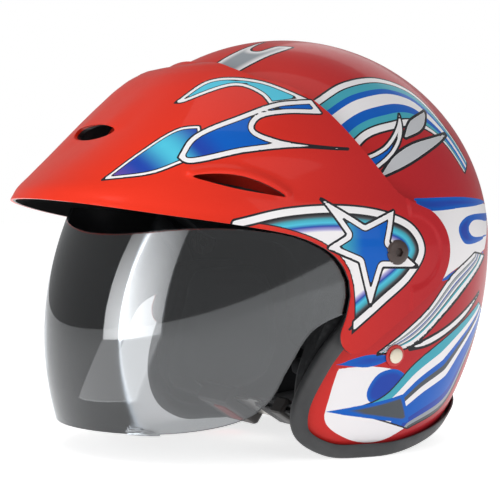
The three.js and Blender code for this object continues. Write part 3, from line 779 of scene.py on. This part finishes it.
def peak_rings(inset, step, rows):
    """Fine columns over the front and sides, coarse ones behind, where nothing of the peak is left."""
    turn = np.radians(np.concatenate([np.arange(-114, 114, step), np.arange(114, 246, 6)]))
    rings = []
    for z in np.linspace(-70, 115.4, rows):
        r = peak_radius(turn, z, inset)
        rings.append(np.column_stack([r * np.sin(turn), -r * np.cos(turn), np.full(len(turn), z)]))
    return rings


def swell(value, low, high):
    """0 below low, 1 above high, and a smooth rise between."""
    t = np.clip((value - low) / (high - low), 0, 1)
    return t * t * (3 - 2 * t)


def bead(away, height, width):
    """Rounded ridge along a line, from the distance to it."""
    return height * np.exp(-(away / width) ** 2)


def vent_relief(x, z):
    """Hood over the front vent, less the scoop below it."""
    above = z - VENT["z"]
    hood = swell(above, -1, 3) * (1 - swell(above, 5, 32)) * (1 - swell(np.abs(x), 14, 44))
    scoop = swell(above, -20, -4) * (1 - swell(above, -2, 1)) * (1 - swell(np.abs(x), 8, 32))
    return HOOD_HEIGHT * hood - SCOOP_DEPTH * scoop


def peak_relief(made):
    """Moulded relief: the vent's hood, a rolled lip over each side slot, a raised border inside the ear's
    edge and a bead along the brim."""
    points = coordinates(made)
    x, y, z = points.T
    side_view = points[:, 1:]
    slot_lip = catmull(SLOT_LINE[:5], spacing=0.5) + (0.6, 2.4)
    brim = catmull(BRIM, spacing=1.2)[4:]
    rise = np.where(y < -60, vent_relief(x, z), 0.0)
    rise += bead(distance(side_view, slot_lip), 1.9, 2.6) * (np.abs(x) > 20)
    rise += bead(distance(side_view, brim), 0.7, 2.2) * (y < -30)
    from_ear = np.hypot(y - EAR_CENTRE[0], z - EAR_CENTRE[1])
    rise += EAR_STEP * swell(from_ear, 21.0, 23.4) * (np.abs(x) > 100) * (y > EAR_CENTRE[0])
    outward = unit(np.column_stack([x / 135.0**2, y / 187.0**2, np.zeros(len(x))]))
    outer = peak_level(points) > -0.004
    set_coordinates(made, points + outward * (rise * outer)[:, None])


def painted_peak():
    made = ring_stack("painted_peak", peak_rings(0.0, 0.45, 128))
    hollow = [ring - (0, 0, 0.01) for ring in peak_rings(PEAK_WALL, 1.5, 60)]
    boolean(made, ring_stack("hollow", hollow), "DIFFERENCE")
    boolean(made, side_prism("keep", peak_outline()), "INTERSECT")
    boolean(made, ring_stack("dome", dome_rings(PEAK_CLEARANCE, 300, 70, 12)), "DIFFERENCE")
    edge = catmull([(-76, 112)] + PEAK_BACK[1:-2], spacing=1.2)
    strip = np.vstack([[(-76, 140)], edge, (edge - (9, 5))[::-1], [(-88, 140)]])
    boolean(made, domed_layer("lip", PEAK_CLEARANCE + 2.2, PEAK_CLEARANCE, strip, 420, 100, 10), "UNION")
    peak_relief(made)
    boolean(made, side_prism("slot", loop(SLOT_LINE, 1.2)), "DIFFERENCE")
    turn = np.linspace(0, 2 * math.pi, 64, endpoint=False)
    vent = round_points((0, VENT["z"]), (VENT["half_width"], VENT["half_height"]), turn)
    boolean(made, front_prism("vent", vent, -180, -120), "DIFFERENCE")
    bore_pivots(made, 6.3)
    canvas = Canvas(made, peak_level)
    peak_artwork(canvas)
    reach = np.hypot(canvas.points[:, 0], canvas.points[:, 1])
    azimuth = np.arctan2(canvas.points[:, 0], -canvas.points[:, 1])
    # Points on the inner half of the peak's wall, painted near black as painted shade under the peak.
    under = reach < peak_radius(azimuth, canvas.points[:, 2], PEAK_WALL * 0.5)
    canvas.paint("underside_shade", under)
    return finish(made, peak_paint(), "peak", "peak_paint", "peak", sharp=38)


# ---- face shield

def shield_section(z, grow=0.0):
    """Half width and reach of the shield at height z. It bulges most 62 mm below the dome's middle."""
    z = np.asarray(z, float)
    w = 131.3 + grow - 4 / 93**2 * np.minimum(0, z - PIVOT[1]) ** 2
    return w, 165.5 + grow - 0.00285 * (z + 62) ** 2


def shield_rings(grow, columns, rows):
    turn = np.linspace(0, 2 * math.pi, columns, endpoint=False)
    rings = []
    for z in np.linspace(-126, 30, rows):
        w, l = shield_section(z, grow)
        rings.append(np.column_stack([w * np.sin(turn), -l * np.cos(turn), np.full(columns, z)]))
    return rings


def shield_outline():
    turn = math.pi / 2 - np.linspace(0, 1.05 * math.pi, 40)
    arm = round_points(PIVOT, (17, 17), turn)
    rear = catmull([(-8, -26), (-27, -38), (-51, -50), (-66, -74), (-75, -92), (-88, -103), (-122, -112.5),
                    (-180, -115.5)], spacing=1.2)
    return np.vstack([[(-180, 22), (-110, 22), (-62, 19), (-38, 13.5)], arm, rear])


def lift_tab():
    """Small grip at the lower edge of the shield, on the wearer's left."""
    w, l = shield_section(-113, -0.6)
    t = np.linspace(0, 1, 25)
    turn = 0.44 + 0.18 * t
    rings = []
    for z, reach in ((-114.4, 3.2), (-114.0, 3.6), (-112.4, 3.6), (-112.0, 3.2)):
        out = reach * np.sin(math.pi * t)
        front = np.column_stack([(w + out) * np.sin(turn), -(l + out) * np.cos(turn)])
        back = np.column_stack([(w - 0.8) * np.sin(turn), -(l - 0.8) * np.cos(turn)])[::-1]
        ring = np.vstack([front, back])
        rings.append(np.column_stack([ring, np.full(len(ring), z)]))
    return ring_stack("tab", rings)


def smoked_shield():
    made = ring_stack("smoked_shield", shield_rings(0.0, 480, 60))
    hollow = [r * (1, 1, 1.02) for r in shield_rings(-SHIELD_WALL, 240, 40)]
    boolean(made, ring_stack("hollow", hollow), "DIFFERENCE")
    boolean(made, side_prism("keep", shield_outline()), "INTERSECT")
    boolean(made, lift_tab(), "UNION")
    bore_pivots(made, 6.3)
    return finish(made, smoke(), "shield", "smoke", "face_shield", sharp=40)


# ---- hardware

def pivot_screws(material):
    profile = [(2.9, 119.6), (2.9, 135.9), (7.3, 135.9), (7.6, 136.2), (7.6, 137.1), (7.2, 137.8),
               (6.2, 138.4), (4.4, 138.8)]
    for name, side in SIDES:
        made = lathe(f"hex_screw_{name}", profile, (0, *PIVOT), (side, 0, 0))
        for part in range(6):
            notch = math.radians(60 * part)
            at = (PIVOT[0] + 7.9 * math.cos(notch), PIVOT[1] + 7.9 * math.sin(notch))
            grip = cross_cylinder("notch", 0.9, *sorted((side * 136.4, side * 142)), *at, sides=20)
            boolean(made, grip, "DIFFERENCE")
        key = cross_cylinder("key", 2.9, *sorted((side * 136.9, side * 142)), *PIVOT, sides=6)
        boolean(made, key, "DIFFERENCE")
        finish(made, material, "helmet", "black_plastic", f"pivot_screw_{name}")


def strap_rivets():
    head = [(4.6, -11.8), (5, -10.7), (2.9, -10.7), (2.9, 1.6), (4.4, 1.6), (4.7, 1.9), (4.6, 2.4),
            (4.0, 3.0), (3.0, 3.4), (1.6, 3.62), (0.02, 3.7)]
    washer = eased([(3.3, 0.4), (6.8, 0.4), (6.8, 1.0), (5.9, 1.35), (3.3, 1.35)], 0.25)
    enamel, red = enamel_rivet(), moulded("red_washer", (0.50, 0.014, 0.012), (0.62, 0.06, 0.05), 0.2, 0.35)
    for name, side in SIDES:
        seat, out = rivet_seat(side)
        rivet = lathe(f"domed_rivet_{name}", head, seat, out)
        finish(rivet, enamel, "helmet", "steel", f"strap_rivet_{name}")
        ring = lathe(f"red_washer_{name}", washer, seat, out, closed=True)
        finish(ring, red, "helmet", "red_plastic", f"rivet_washer_{name}")


# ---- linings

EPS_EDGE = [(-170, 52), (-95, 46), (-45, 28), (-10, 6), (50, 0), (62, -30), (66, -82), (170, -76)]
CROWN_PAD_EDGE = [(-170, 42), (-95, 37), (-45, 20), (-10, 0), (44, -6), (56, -30), (60, -74), (170, -70)]
NECK_ROLL_OUTLINE = [(54, -89.5), (60, -106), (100, -98), (150, -86.5), (150, -81), (72, -86.5)]
CHEEK_LINE = [(-24, -20), (-37, -50), (-47, -84), (-45, -108), (-24, -117), (18, -112), (42, -98), (46, -50),
              (34, -20), (2, -17)]
CHEEK_CENTRE = np.array((2.0, -64.0))
CHEEK_BACK = 96.0


def foam_liner(material):
    keep = np.vstack([[(-170, 150)], catmull(EPS_EDGE, spacing=2), [(170, 150)]])
    made = domed_layer("foam_liner", -4.5, -34.0, keep, 180, 46, 24)
    bore_pivots(made, 13)
    return finish(made, material, "helmet", "eps", "eps_liner", sharp=40)


def to_nearest(value, spacing):
    """Distance to the nearest of a row of evenly spaced lines, one of them at zero."""
    return np.abs((value / spacing + 0.5) % 1 - 0.5) * spacing


def quilted_crown(material):
    """Comfort liner of the crown: a soft layer with sewn channels from front to back and across."""
    keep = np.vstack([[(-170, 150)], catmull(CROWN_PAD_EDGE, spacing=2), [(170, 150)]])
    made = domed_layer("quilted_crown", -36.0, -41.6, keep, 260, 80, 40)
    points = coordinates(made)
    inner = dome_level(points / (1 - 38.8 / 130)) < 0
    seam = np.minimum(to_nearest(points[:, 0], 34), to_nearest(points[:, 1], 52))
    rise = 1.9 * (1 - np.exp(-(seam / 5.0) ** 2)) - 1.0
    set_coordinates(made, points - unit(points) * (rise * inner)[:, None])
    return finish(made, material, "helmet", "lining", "crown_pad", sharp=60)


def inflated(made, cap, voxel=5.0, pressure=4.0):
    """Blow a closed form up like a stuffed pad by cloth simulation, never moving a point more than cap mm."""
    scene = bpy.context.scene
    mesher = made.modifiers.new("remesh", "REMESH")
    mesher.mode = "VOXEL"
    mesher.voxel_size = voxel / 1000
    apply_modifiers(made)
    rest = coordinates(made)
    cloth = made.modifiers.new("cloth", "CLOTH")
    cloth.settings.use_pressure = True
    cloth.settings.uniform_pressure_force = pressure
    cloth.settings.quality = 5
    cloth.settings.effector_weights.gravity = 0
    cloth.point_cache.frame_start = 1
    cloth.point_cache.frame_end = 20
    for step in range(1, 21):
        scene.frame_set(step)
    apply_modifiers(made)
    scene.frame_set(1)
    moved = coordinates(made) - rest
    length = np.linalg.norm(moved, axis=1)[:, None]
    set_coordinates(made, rest + moved * np.minimum(1, cap / np.maximum(length, 1e-6)))
    smoother = made.modifiers.new("even", "SMOOTH")
    smoother.factor = 0.5
    smoother.iterations = 4
    finer = made.modifiers.new("finer", "SUBSURF")
    finer.levels = finer.render_levels = 1
    apply_modifiers(made)
    return made


def sewn(made, line_distance, depth=1.1, width=1.3):
    """Press a sewn channel into a pad where its points lie near a line."""
    points = coordinates(made)
    normals = np.zeros(len(points) * 3)
    made.data.vertices.foreach_get("normal", normals)
    press = depth * np.exp(-(line_distance / width) ** 2)
    set_coordinates(made, points - normals.reshape(-1, 3) * press[:, None])


def cheek_pads(material):
    """Stuffed pad in front of each cheek foam, with a sewn border."""
    line = loop(CHEEK_LINE, 2.0)
    rings = []
    for shrink, depth in ((0.90, 0.6), (0.95, 4), (0.95, 9), (0.84, 14), (0.62, 17.5), (0.3, 18.5)):
        ring = CHEEK_CENTRE + (line - CHEEK_CENTRE) * shrink
        rings.append(np.column_stack([ring, np.full(len(ring), depth)]))
    for name, side in SIDES:
        made = ring_stack(f"stuffed_cheek_pad_{name}", rings)
        y, z, depth = coordinates(made).T
        x = side * (CHEEK_BACK - depth)
        set_coordinates(made, np.column_stack([x, y, z]))
        recalculate(made)
        inflated(made, 3.0)
        points = coordinates(made)
        points[:, 0] = side * np.minimum(side * points[:, 0], CHEEK_BACK + 0.2)
        set_coordinates(made, points)
        border = catmull(CHEEK_CENTRE + 0.74 * (CHEEK_LINE - CHEEK_CENTRE), closed=True, spacing=1.0)
        facing_head = side * points[:, 0] < CHEEK_BACK - 4
        sewn(made, np.where(facing_head, distance(points[:, 1:], border), np.inf), 1.6, 2.0)
        finish(made, material, "helmet", "lining", f"cheek_pad_{name}", sharp=70)


def stuffed_neck_roll(material):
    made = domed_layer("stuffed_neck_roll", -7.0, -25.5, NECK_ROLL_OUTLINE, 120, 10, 40)
    inflated(made, 2.0, voxel=4.5)
    points = coordinates(made)
    around = np.degrees(np.arctan2(points[:, 0], points[:, 1]))
    sewn(made, 2.0 * to_nearest(around, 26), 1.4, 2.2)
    return finish(made, material, "helmet", "lining", "neck_roll", sharp=70)


# ---- chin strap

STRAP_LEAN = 0.99
STRAP_WIDTH = 22.0
STRAP_THICK = 1.8
STRAP_LINE = [(113.7, 13), (112, 0), (109.3, -18), (103.5, -34), (92, -44), (74, -49), (52, -50), (34, -50)]
TONGUE_LOOP = [(30, -50), (21, -50), (15.2, -50.3), (12.9, -52.3), (15.2, -54.3), (21, -54.6), (60, -54.6)]


def from_strap_plane(points):
    """Points given as (across, up the strap, over its width) in the leaning plane of the strap."""
    p = np.asarray(points, float)
    c, s = math.cos(STRAP_LEAN), math.sin(STRAP_LEAN)
    return np.column_stack([p[:, 0], RIVET_PLACE[0] + c * p[:, 1] - s * p[:, 2],
                            RIVET_PLACE[1] + s * p[:, 1] + c * p[:, 2]])


def strap_slab(name, profile, half_width, edge=0.5):
    """Profile of (across, up) points given a width, with eased edges."""
    profile = np.asarray(profile, float)
    before, after = np.roll(profile, 1, axis=0), np.roll(profile, -1, axis=0)
    along = unit(after - before)
    area = np.sum(profile[:, 0] * after[:, 1] - after[:, 0] * profile[:, 1])
    inward = np.column_stack([-along[:, 1], along[:, 0]]) * np.sign(area)
    rings = []
    flat = half_width - edge
    for width, inset in ((-half_width, edge), (-flat, 0), (flat, 0), (half_width, edge)):
        ring = profile + inward * inset
        rings.append(from_strap_plane(np.column_stack([ring, np.full(len(ring), width)])))
    return recalculate(ring_stack(name, rings))


def ribbon(line, thick):
    line = np.asarray(line, float)
    along = unit(np.gradient(line, axis=0))
    across = np.column_stack([-along[:, 1], along[:, 0]]) * thick / 2
    return np.vstack([line - across, (line + across)[::-1]])


def sewn_bars(made, line, starts):
    """Rows of thread laid across the webbing: one small raised stitch after another, joined to the ribbon."""
    along = np.concatenate([[0], np.cumsum(np.linalg.norm(np.diff(line, axis=0), axis=1))])
    tangent = unit(np.gradient(line, axis=0))
    low, high = STRAP_THICK / 2 - 0.3, STRAP_THICK / 2 + 0.16
    for start in starts:
        at = np.array([np.interp(start, along, line[:, k]) for k in (0, 1)])
        direction = np.array([np.interp(start, along, tangent[:, k]) for k in (0, 1)])
        normal = np.array((-direction[1], direction[0]))
        corners = ((low, -0.3), (low, 0.3), (high, 0.18), (high, -0.18))
        section = [at + normal * up + direction * forward for up, forward in corners]
        for across in np.arange(-8.4, 8.5, 2.4):
            ends = [np.column_stack([section, np.full(4, across + half)]) for half in (-0.85, 0.85)]
            stitch = recalculate(ring_stack("stitch", [from_strap_plane(end) for end in ends]))
            boolean(made, stitch, "UNION")


def chin_straps(material):
    run = catmull(STRAP_LINE, spacing=1.5)
    for name, side in SIDES:
        line = np.vstack([run[:-1], catmull(TONGUE_LOOP, spacing=1.0)]) if side > 0 else run[run[:, 0] > 54]
        made = strap_slab(f"webbing_{name}", ribbon(line, STRAP_THICK), STRAP_WIDTH / 2, 0.35)
        sewn_bars(made, line, (7.0, 20.0, 22.0))
        if side < 0:
            set_coordinates(made, coordinates(made) * (-1, 1, 1))
            recalculate(made)
        drill_rivet(made, side, 3.6)
        finish(made, material, "helmet", "webbing", f"chin_strap_{name}", sharp=50)


def slab_box(name, left, right, low, high, width, corner=1.0, edge=0.5):
    """Block given across and up the strap's plane, with its width along the webbing's."""
    profile = eased([(left, low), (right, low), (right, high), (left, high)], corner)
    return strap_slab(name, profile, width / 2, edge)


def carve(made, *box):
    """Cut a slab_box, given without its name, out of a piece."""
    boolean(made, slab_box("carve", *box), "DIFFERENCE")


def buckle(plastic, red, steel):
    """Housing with its mouth, slot, button well and ribs; button; tongue; slider."""
    slot = STRAP_WIDTH + 1
    housing = slab_box("buckle_body", -60, -16, -60.5, -46.5, 30, 3.2, 1.6)
    carve(housing, -50, -14, -53.7, -50.9, 21, 0.2, 0.2)
    carve(housing, -62, -53, -51.6, -48.4, slot, 0.2, 0.2)
    carve(housing, -42.5, -25.5, -63, -54.6, 19, 0.6, 0.3)
    for across in (-57.4, -55.2, -53.0, -50.8):
        carve(housing, across, across + 0.9, -61.2, -60.0, 22, 0.2, 0.2)
    finish(housing, plastic, "helmet", "black_plastic", "buckle_housing")
    button = slab_box("release_button", -42, -26, -61.6, -57.6, 18, 0.8, 0.6)
    for across in (-39, -36.5, -34, -31.5, -29):
        carve(button, across - 0.45, across + 0.45, -62.4, -61.1, 13, 0.2, 0.2)
    finish(button, red, "button", "red_plastic", "buckle_button")
    tongue = slab_box("latch_tongue", -46, 19, -53.3, -51.3, 20, 0.5, 0.5)
    boolean(tongue, slab_box("head", 6, 19, -53.3, -51.3, 27, 0.5, 0.5), "UNION")
    carve(tongue, 10.4, 15.4, -70, -40, slot, 0.5, 0.5)
    carve(tongue, -40, -30, -70, -40, 9, 0.5, 0.5)
    finish(tongue, steel, "helmet", "steel", "buckle_tongue")
    slider = slab_box("ladder_slider", 40, 54, -58, -46.6, 28, 2.0, 1.0)
    carve(slider, 38, 56, -56, -48.7, slot, 0.3, 0.3)
    finish(slider, plastic, "helmet", "black_plastic", "strap_slider")


def keep_cad_nodes(materials):
    """Hidden hardware and blocks whose CAD shape is right stay as they are and get their material."""
    kept = {
        "eps": ("cheek_foam",), "black": ("pivot_base",), "nylon": ("friction_washer",),
        "steel": ("pivot_bush", "pivot_nut", "strap_anchor"),
    }
    for finish_name, nodes in kept.items():
        for node in nodes:
            for name, _ in SIDES:
                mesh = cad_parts[f"{node}_{name}"].data
                mesh.materials.clear()
                mesh.materials.append(materials[finish_name])


# ---- artwork

# Outlines are runs of directions from the dome's centre: (degrees round from the front, degrees up).
# A new run starts at each corner.

def smooth_line(*points):
    return catmull(points, spacing=0.4)


def shell_artwork(canvas):
    canvas.shapes("ghost", outline(
        [(22, 51), (25, 62), (33, 78)], [(33, 78), (34, 68), (42, 66), (54, 71), (67, 71)],
        [(67, 71), (50, 63), (40, 55), (34, 49)], [(34, 49), (28, 50)]))
    canvas.band("rainbow", smooth_line((68, 41), (85, 50), (109, 53), (127, 47), (132, 34), (136, 23)),
                smooth_line((80, 25), (88, 31), (100, 34), (112, 35), (123, 30), (130, 20)))
    canvas.shapes("blade", outline(
        [(106, 39), (103, 33), (96, 26), (86, 20)], [(86, 20), (83, 24)], [(83, 24), (93, 28), (101, 34)]))
    quill = outline([(89, 19), (96, 25), (106, 29), (129, 32)], [(129, 32), (112, 27), (98, 22)])
    sliver = outline([(124, 40), (109, 36), (103, 31)], [(103, 31), (114, 34)])
    canvas.shapes("quill", quill, sliver)
    temple = outline([(101, 12), (123, 12), (150, 10)], [(150, 10), (139, -2)],
                     [(139, -2), (118, -7), (109, -11)], [(109, -11), (113, -3), (110, 6)])
    cheek = outline([(76, -32), (88, -32), (100, -35), (108, -46)],
                    [(108, -46), (94, -49), (81, -48), (73, -44), (74, -38)])
    canvas.shapes("patch", temple, cheek)
    top = outline([(100, 13), (123, 13), (150, 11)], [(150, 11), (123, 10), (103, 10)])
    curl = outline([(150, 8), (123, 7), (119, 4), (122, 0), (143, 2)],
                   [(143, 2), (127, 2), (125, 4), (128, 6), (146, 6)])
    lower = outline([(108, -11), (119, -7), (140, -2)], [(140, -2), (124, -8)])
    brow = outline([(75, -31), (86, -29), (95, -30)], [(95, -30), (86, -32)])
    oval = loop([(86, -38), (89, -34), (96, -33), (101, -36), (95, -40), (87, -40)])
    canvas.shapes("blue_patch", top, curl, lower, brow, oval)
    canvas.shapes("spike", outline(
        [(72, -42), (93, -40), (100, -39)], [(100, -39), (106, -46)], [(106, -46), (89, -44)]))
    canvas.band("upper_fan", smooth_line((88, -29), (97, -24), (106, -18), (116, -9), (129, -3)),
                smooth_line((88, -29), (101, -27), (114, -19), (128, -10), (139, -4)))
    canvas.band("lower_fan", smooth_line((137, -17), (118, -25), (103, -32), (93, -39), (81, -42)),
                smooth_line((148, -20), (136, -32), (129, -42), (106, -47)))
    canvas.shapes("feather", outline(
        [(100, -28), (116, -23), (136, -14)], [(136, -14), (124, -21), (108, -27)]))


STAR_TIPS = np.array([(-48, 28), (-1, 21), (15, -13), (-18, -36), (-47, -1)], float)
EAR_BAND = [(-99, 13.4), (-71, 20), (-37, 22), (-7, 18), (11, 10), (18, -3), (9, -18), (-10, -33), (-32, -50)]
EAR_BAND_HALF = 2.1
EAR_FRONT = -29.0
EAR_INNER_EDGE = [(-28, -46), (-28, -34), (-29.5, -22), (-33, -13), (-40, -4), (-51, 3.5), (-66, 9.5),
                  (-82, 13.5), (-94, 14.8)]


def star(tips, waist):
    """Star from its tips: the notches lie between neighbouring tips, drawn in to a share of their reach."""
    centre = tips.mean(axis=0)
    notches = centre + (((tips + np.roll(tips, -1, axis=0)) / 2) - centre) * waist
    corners = np.stack([tips, notches], axis=1).reshape(-1, 2)
    edges = zip(corners, np.roll(corners, -1, axis=0))
    return np.vstack([resample(np.array(edge), 0.8)[:-1] for edge in edges])


def seen_from_side(points):
    """Directions of the points of the peak that a side view shows at (y, z)."""
    points = np.asarray(points, float)
    w, l, n = peak_section(points[:, 1])
    x = w * (1 - np.abs(points[:, 0] / l) ** n) ** (1 / n)
    around = np.degrees(np.arctan2(x, -points[:, 0]))
    return np.column_stack([around, np.degrees(np.arctan2(points[:, 1], np.hypot(x, points[:, 0])))])


def peak_artwork(canvas):
    canvas.shapes("front_flame", outline(
        [(21, 13), (27, 20), (34, 26), (39, 27)], [(39, 27), (40, 23), (37, 18)], [(37, 18), (31, 15)]))
    canvas.shapes("side_flame", outline(
        [(36, 19), (38, 24), (48, 31), (58, 37), (69, 40)], [(69, 40), (72, 36)],
        [(72, 36), (60, 34), (53, 31), (52, 28), (58, 26), (79, 26)],
        [(79, 26), (64, 25), (51, 22), (38, 18)]))
    canvas.shapes("upper_flame", outline(
        [(29, 34), (36, 42), (52, 44), (68, 40)], [(68, 40), (56, 36)],
        [(56, 36), (53, 39), (45, 41), (31, 34)]))
    canvas.shapes("star", seen_from_side(star(STAR_TIPS, 0.5)))
    band = catmull(EAR_BAND, spacing=0.6)
    away = distance(canvas.points, lift(seen_from_side(band), canvas.level))
    beside = np.where(canvas.points[:, 2] < -10, canvas.points[:, 1] - EAR_FRONT, 9.0)
    canvas.paint("ear_band", np.minimum(EAR_BAND_HALF - away, beside))
    canvas.paint("ear_depth", np.minimum(away, 20.0))
    canvas.shapes("ear_field", seen_from_side(np.vstack([band, catmull(EAR_INNER_EDGE, spacing=0.6)])))


# ---- studio

def white_paper(name, glow):
    """White paper, lit from behind a little so that it stays pale away from the lamps."""
    s = Shader(name)
    colour = s.mix(s.fade(s.noise(3.0, 2.0), 0.3, 0.7), (0.86, 0.86, 0.86), (0.90, 0.90, 0.90))
    return s.surface(Base_Color=colour, Roughness=0.9, Normal=s.bump(s.noise(300.0), 0.05, 0.0003),
                     Emission_Color=(1.0, 1.0, 1.0), Emission_Strength=glow)


def studio_sheet(name, corners, height, glow):
    """Paper lying flat, given by (x, y) corners in mm from the dome's centre."""
    sheet = new_mesh(name, [(x, y, height - REST_HEIGHT) for x, y in corners], [tuple(range(len(corners)))])
    sheet.data.materials.append(white_paper(name, glow))


def studio_floor():
    """A floor that reaches the horizon, and a brighter sheet in front that the shield mirrors as a band."""
    turn = np.linspace(0, 2 * math.pi, 48, endpoint=False)
    studio_sheet("paper_floor", 9000 * np.column_stack([np.cos(turn), np.sin(turn)]), 0.0, 0.75)
    studio_sheet("bright_sheet", [(-55, -240), (-230, -1310), (620, -1310), (75, -240)][::-1], 0.5, 1.9)


def area_light(name, place, size, power, aim=(0.0, 0.0, 0.14), colour=(1, 1, 1)):
    data = bpy.data.lights.new(name, "AREA")
    data.shape = "RECTANGLE"
    data.size, data.size_y = size
    data.energy = power
    data.color = colour
    light = bpy.data.objects.new(name, data)
    bpy.context.scene.collection.objects.link(light)
    light.location = place
    light.visible_camera = False
    light.rotation_euler = (Vector(aim) - Vector(place)).to_track_quat("-Z", "Y").to_euler()
    return light


def lights():
    bpy.context.scene.view_settings.view_transform = "Standard"
    front = area_light("front_softbox", (0.20, -1.3, 0.36), (0.85, 0.74), 2.1, aim=(0.20, 0.0, 0.36))
    front.data.spread = math.radians(70)
    area_light("side_fill", (1.7, 0.25, 0.75), (1.2, 1.0), 5)
    area_light("overhead", (0.1, -0.1, 1.7), (1.2, 1.2), 6)
    area_light("back", (-0.9, 1.1, 1.1), (1.0, 0.8), 3)
    soft_room()


def soft_room():
    """Even light from all round. The camera sees it as white, so the paper has no visible end."""
    world = bpy.data.worlds.new("soft_room")
    bpy.context.scene.world = world
    world.use_nodes = True
    tree = world.node_tree
    strength = tree.nodes.new("ShaderNodeMapRange")
    strength.inputs["To Min"].default_value = 0.34
    strength.inputs["To Max"].default_value = 1.0
    tree.links.new(tree.nodes.new("ShaderNodeLightPath").outputs["Is Camera Ray"], strength.inputs["Value"])
    tree.links.new(strength.outputs[0], tree.nodes["Background"].inputs["Strength"])
    tree.nodes["Background"].inputs["Color"].default_value = (1.0, 1.0, 1.0, 1.0)


def camera(azimuth=60.0, elevation=1.5, distance_away=1.1, right_by=-0.023, up_by=-0.0065):
    """Photo's viewpoint: to the front and the wearer's left, almost level with the middle of the dome."""
    a, e = math.radians(azimuth), math.radians(elevation)
    back = Vector((math.sin(a) * math.cos(e), -math.cos(a) * math.cos(e), math.sin(e)))
    right = Vector((math.cos(a), math.sin(a), 0))
    up = back.cross(right)
    centre = Vector(DOME_CENTRE) / 1000
    data = bpy.data.cameras.new("camera")
    data.sensor_width = 36
    data.lens = 117.2
    made = bpy.data.objects.new("camera", data)
    bpy.context.scene.collection.objects.link(made)
    made.location = centre + back * distance_away
    aim = centre + right * right_by + up * up_by
    made.rotation_euler = (aim - made.location).to_track_quat("-Z", "Y").to_euler()
    bpy.context.scene.camera = made


# ---- assembly

materials = {
    "eps": bead_foam(),
    "lining": lining_cloth(),
    "webbing": webbing(),
    "black": moulded("black_plastic", (0.030, 0.026, 0.025), (0.060, 0.056, 0.054)),
    "red": moulded("red_plastic", (0.42, 0.012, 0.012), (0.55, 0.06, 0.05)),
    "nylon": moulded("nylon", (0.70, 0.69, 0.64), (0.80, 0.79, 0.75)),
    "steel": plated_steel(),
}
painted_shell()
rubber_edging()
painted_peak()
smoked_shield()
pivot_screws(moulded("screw_plastic", (0.045, 0.028, 0.024), (0.10, 0.07, 0.06), 0.3, 0.45))
strap_rivets()
foam_liner(materials["eps"])
quilted_crown(materials["lining"])
stuffed_neck_roll(materials["lining"])
cheek_pads(materials["lining"])
chin_straps(materials["webbing"])
buckle(materials["black"], materials["red"], materials["steel"])
keep_cad_nodes(materials)
studio_floor()
lights()
camera()
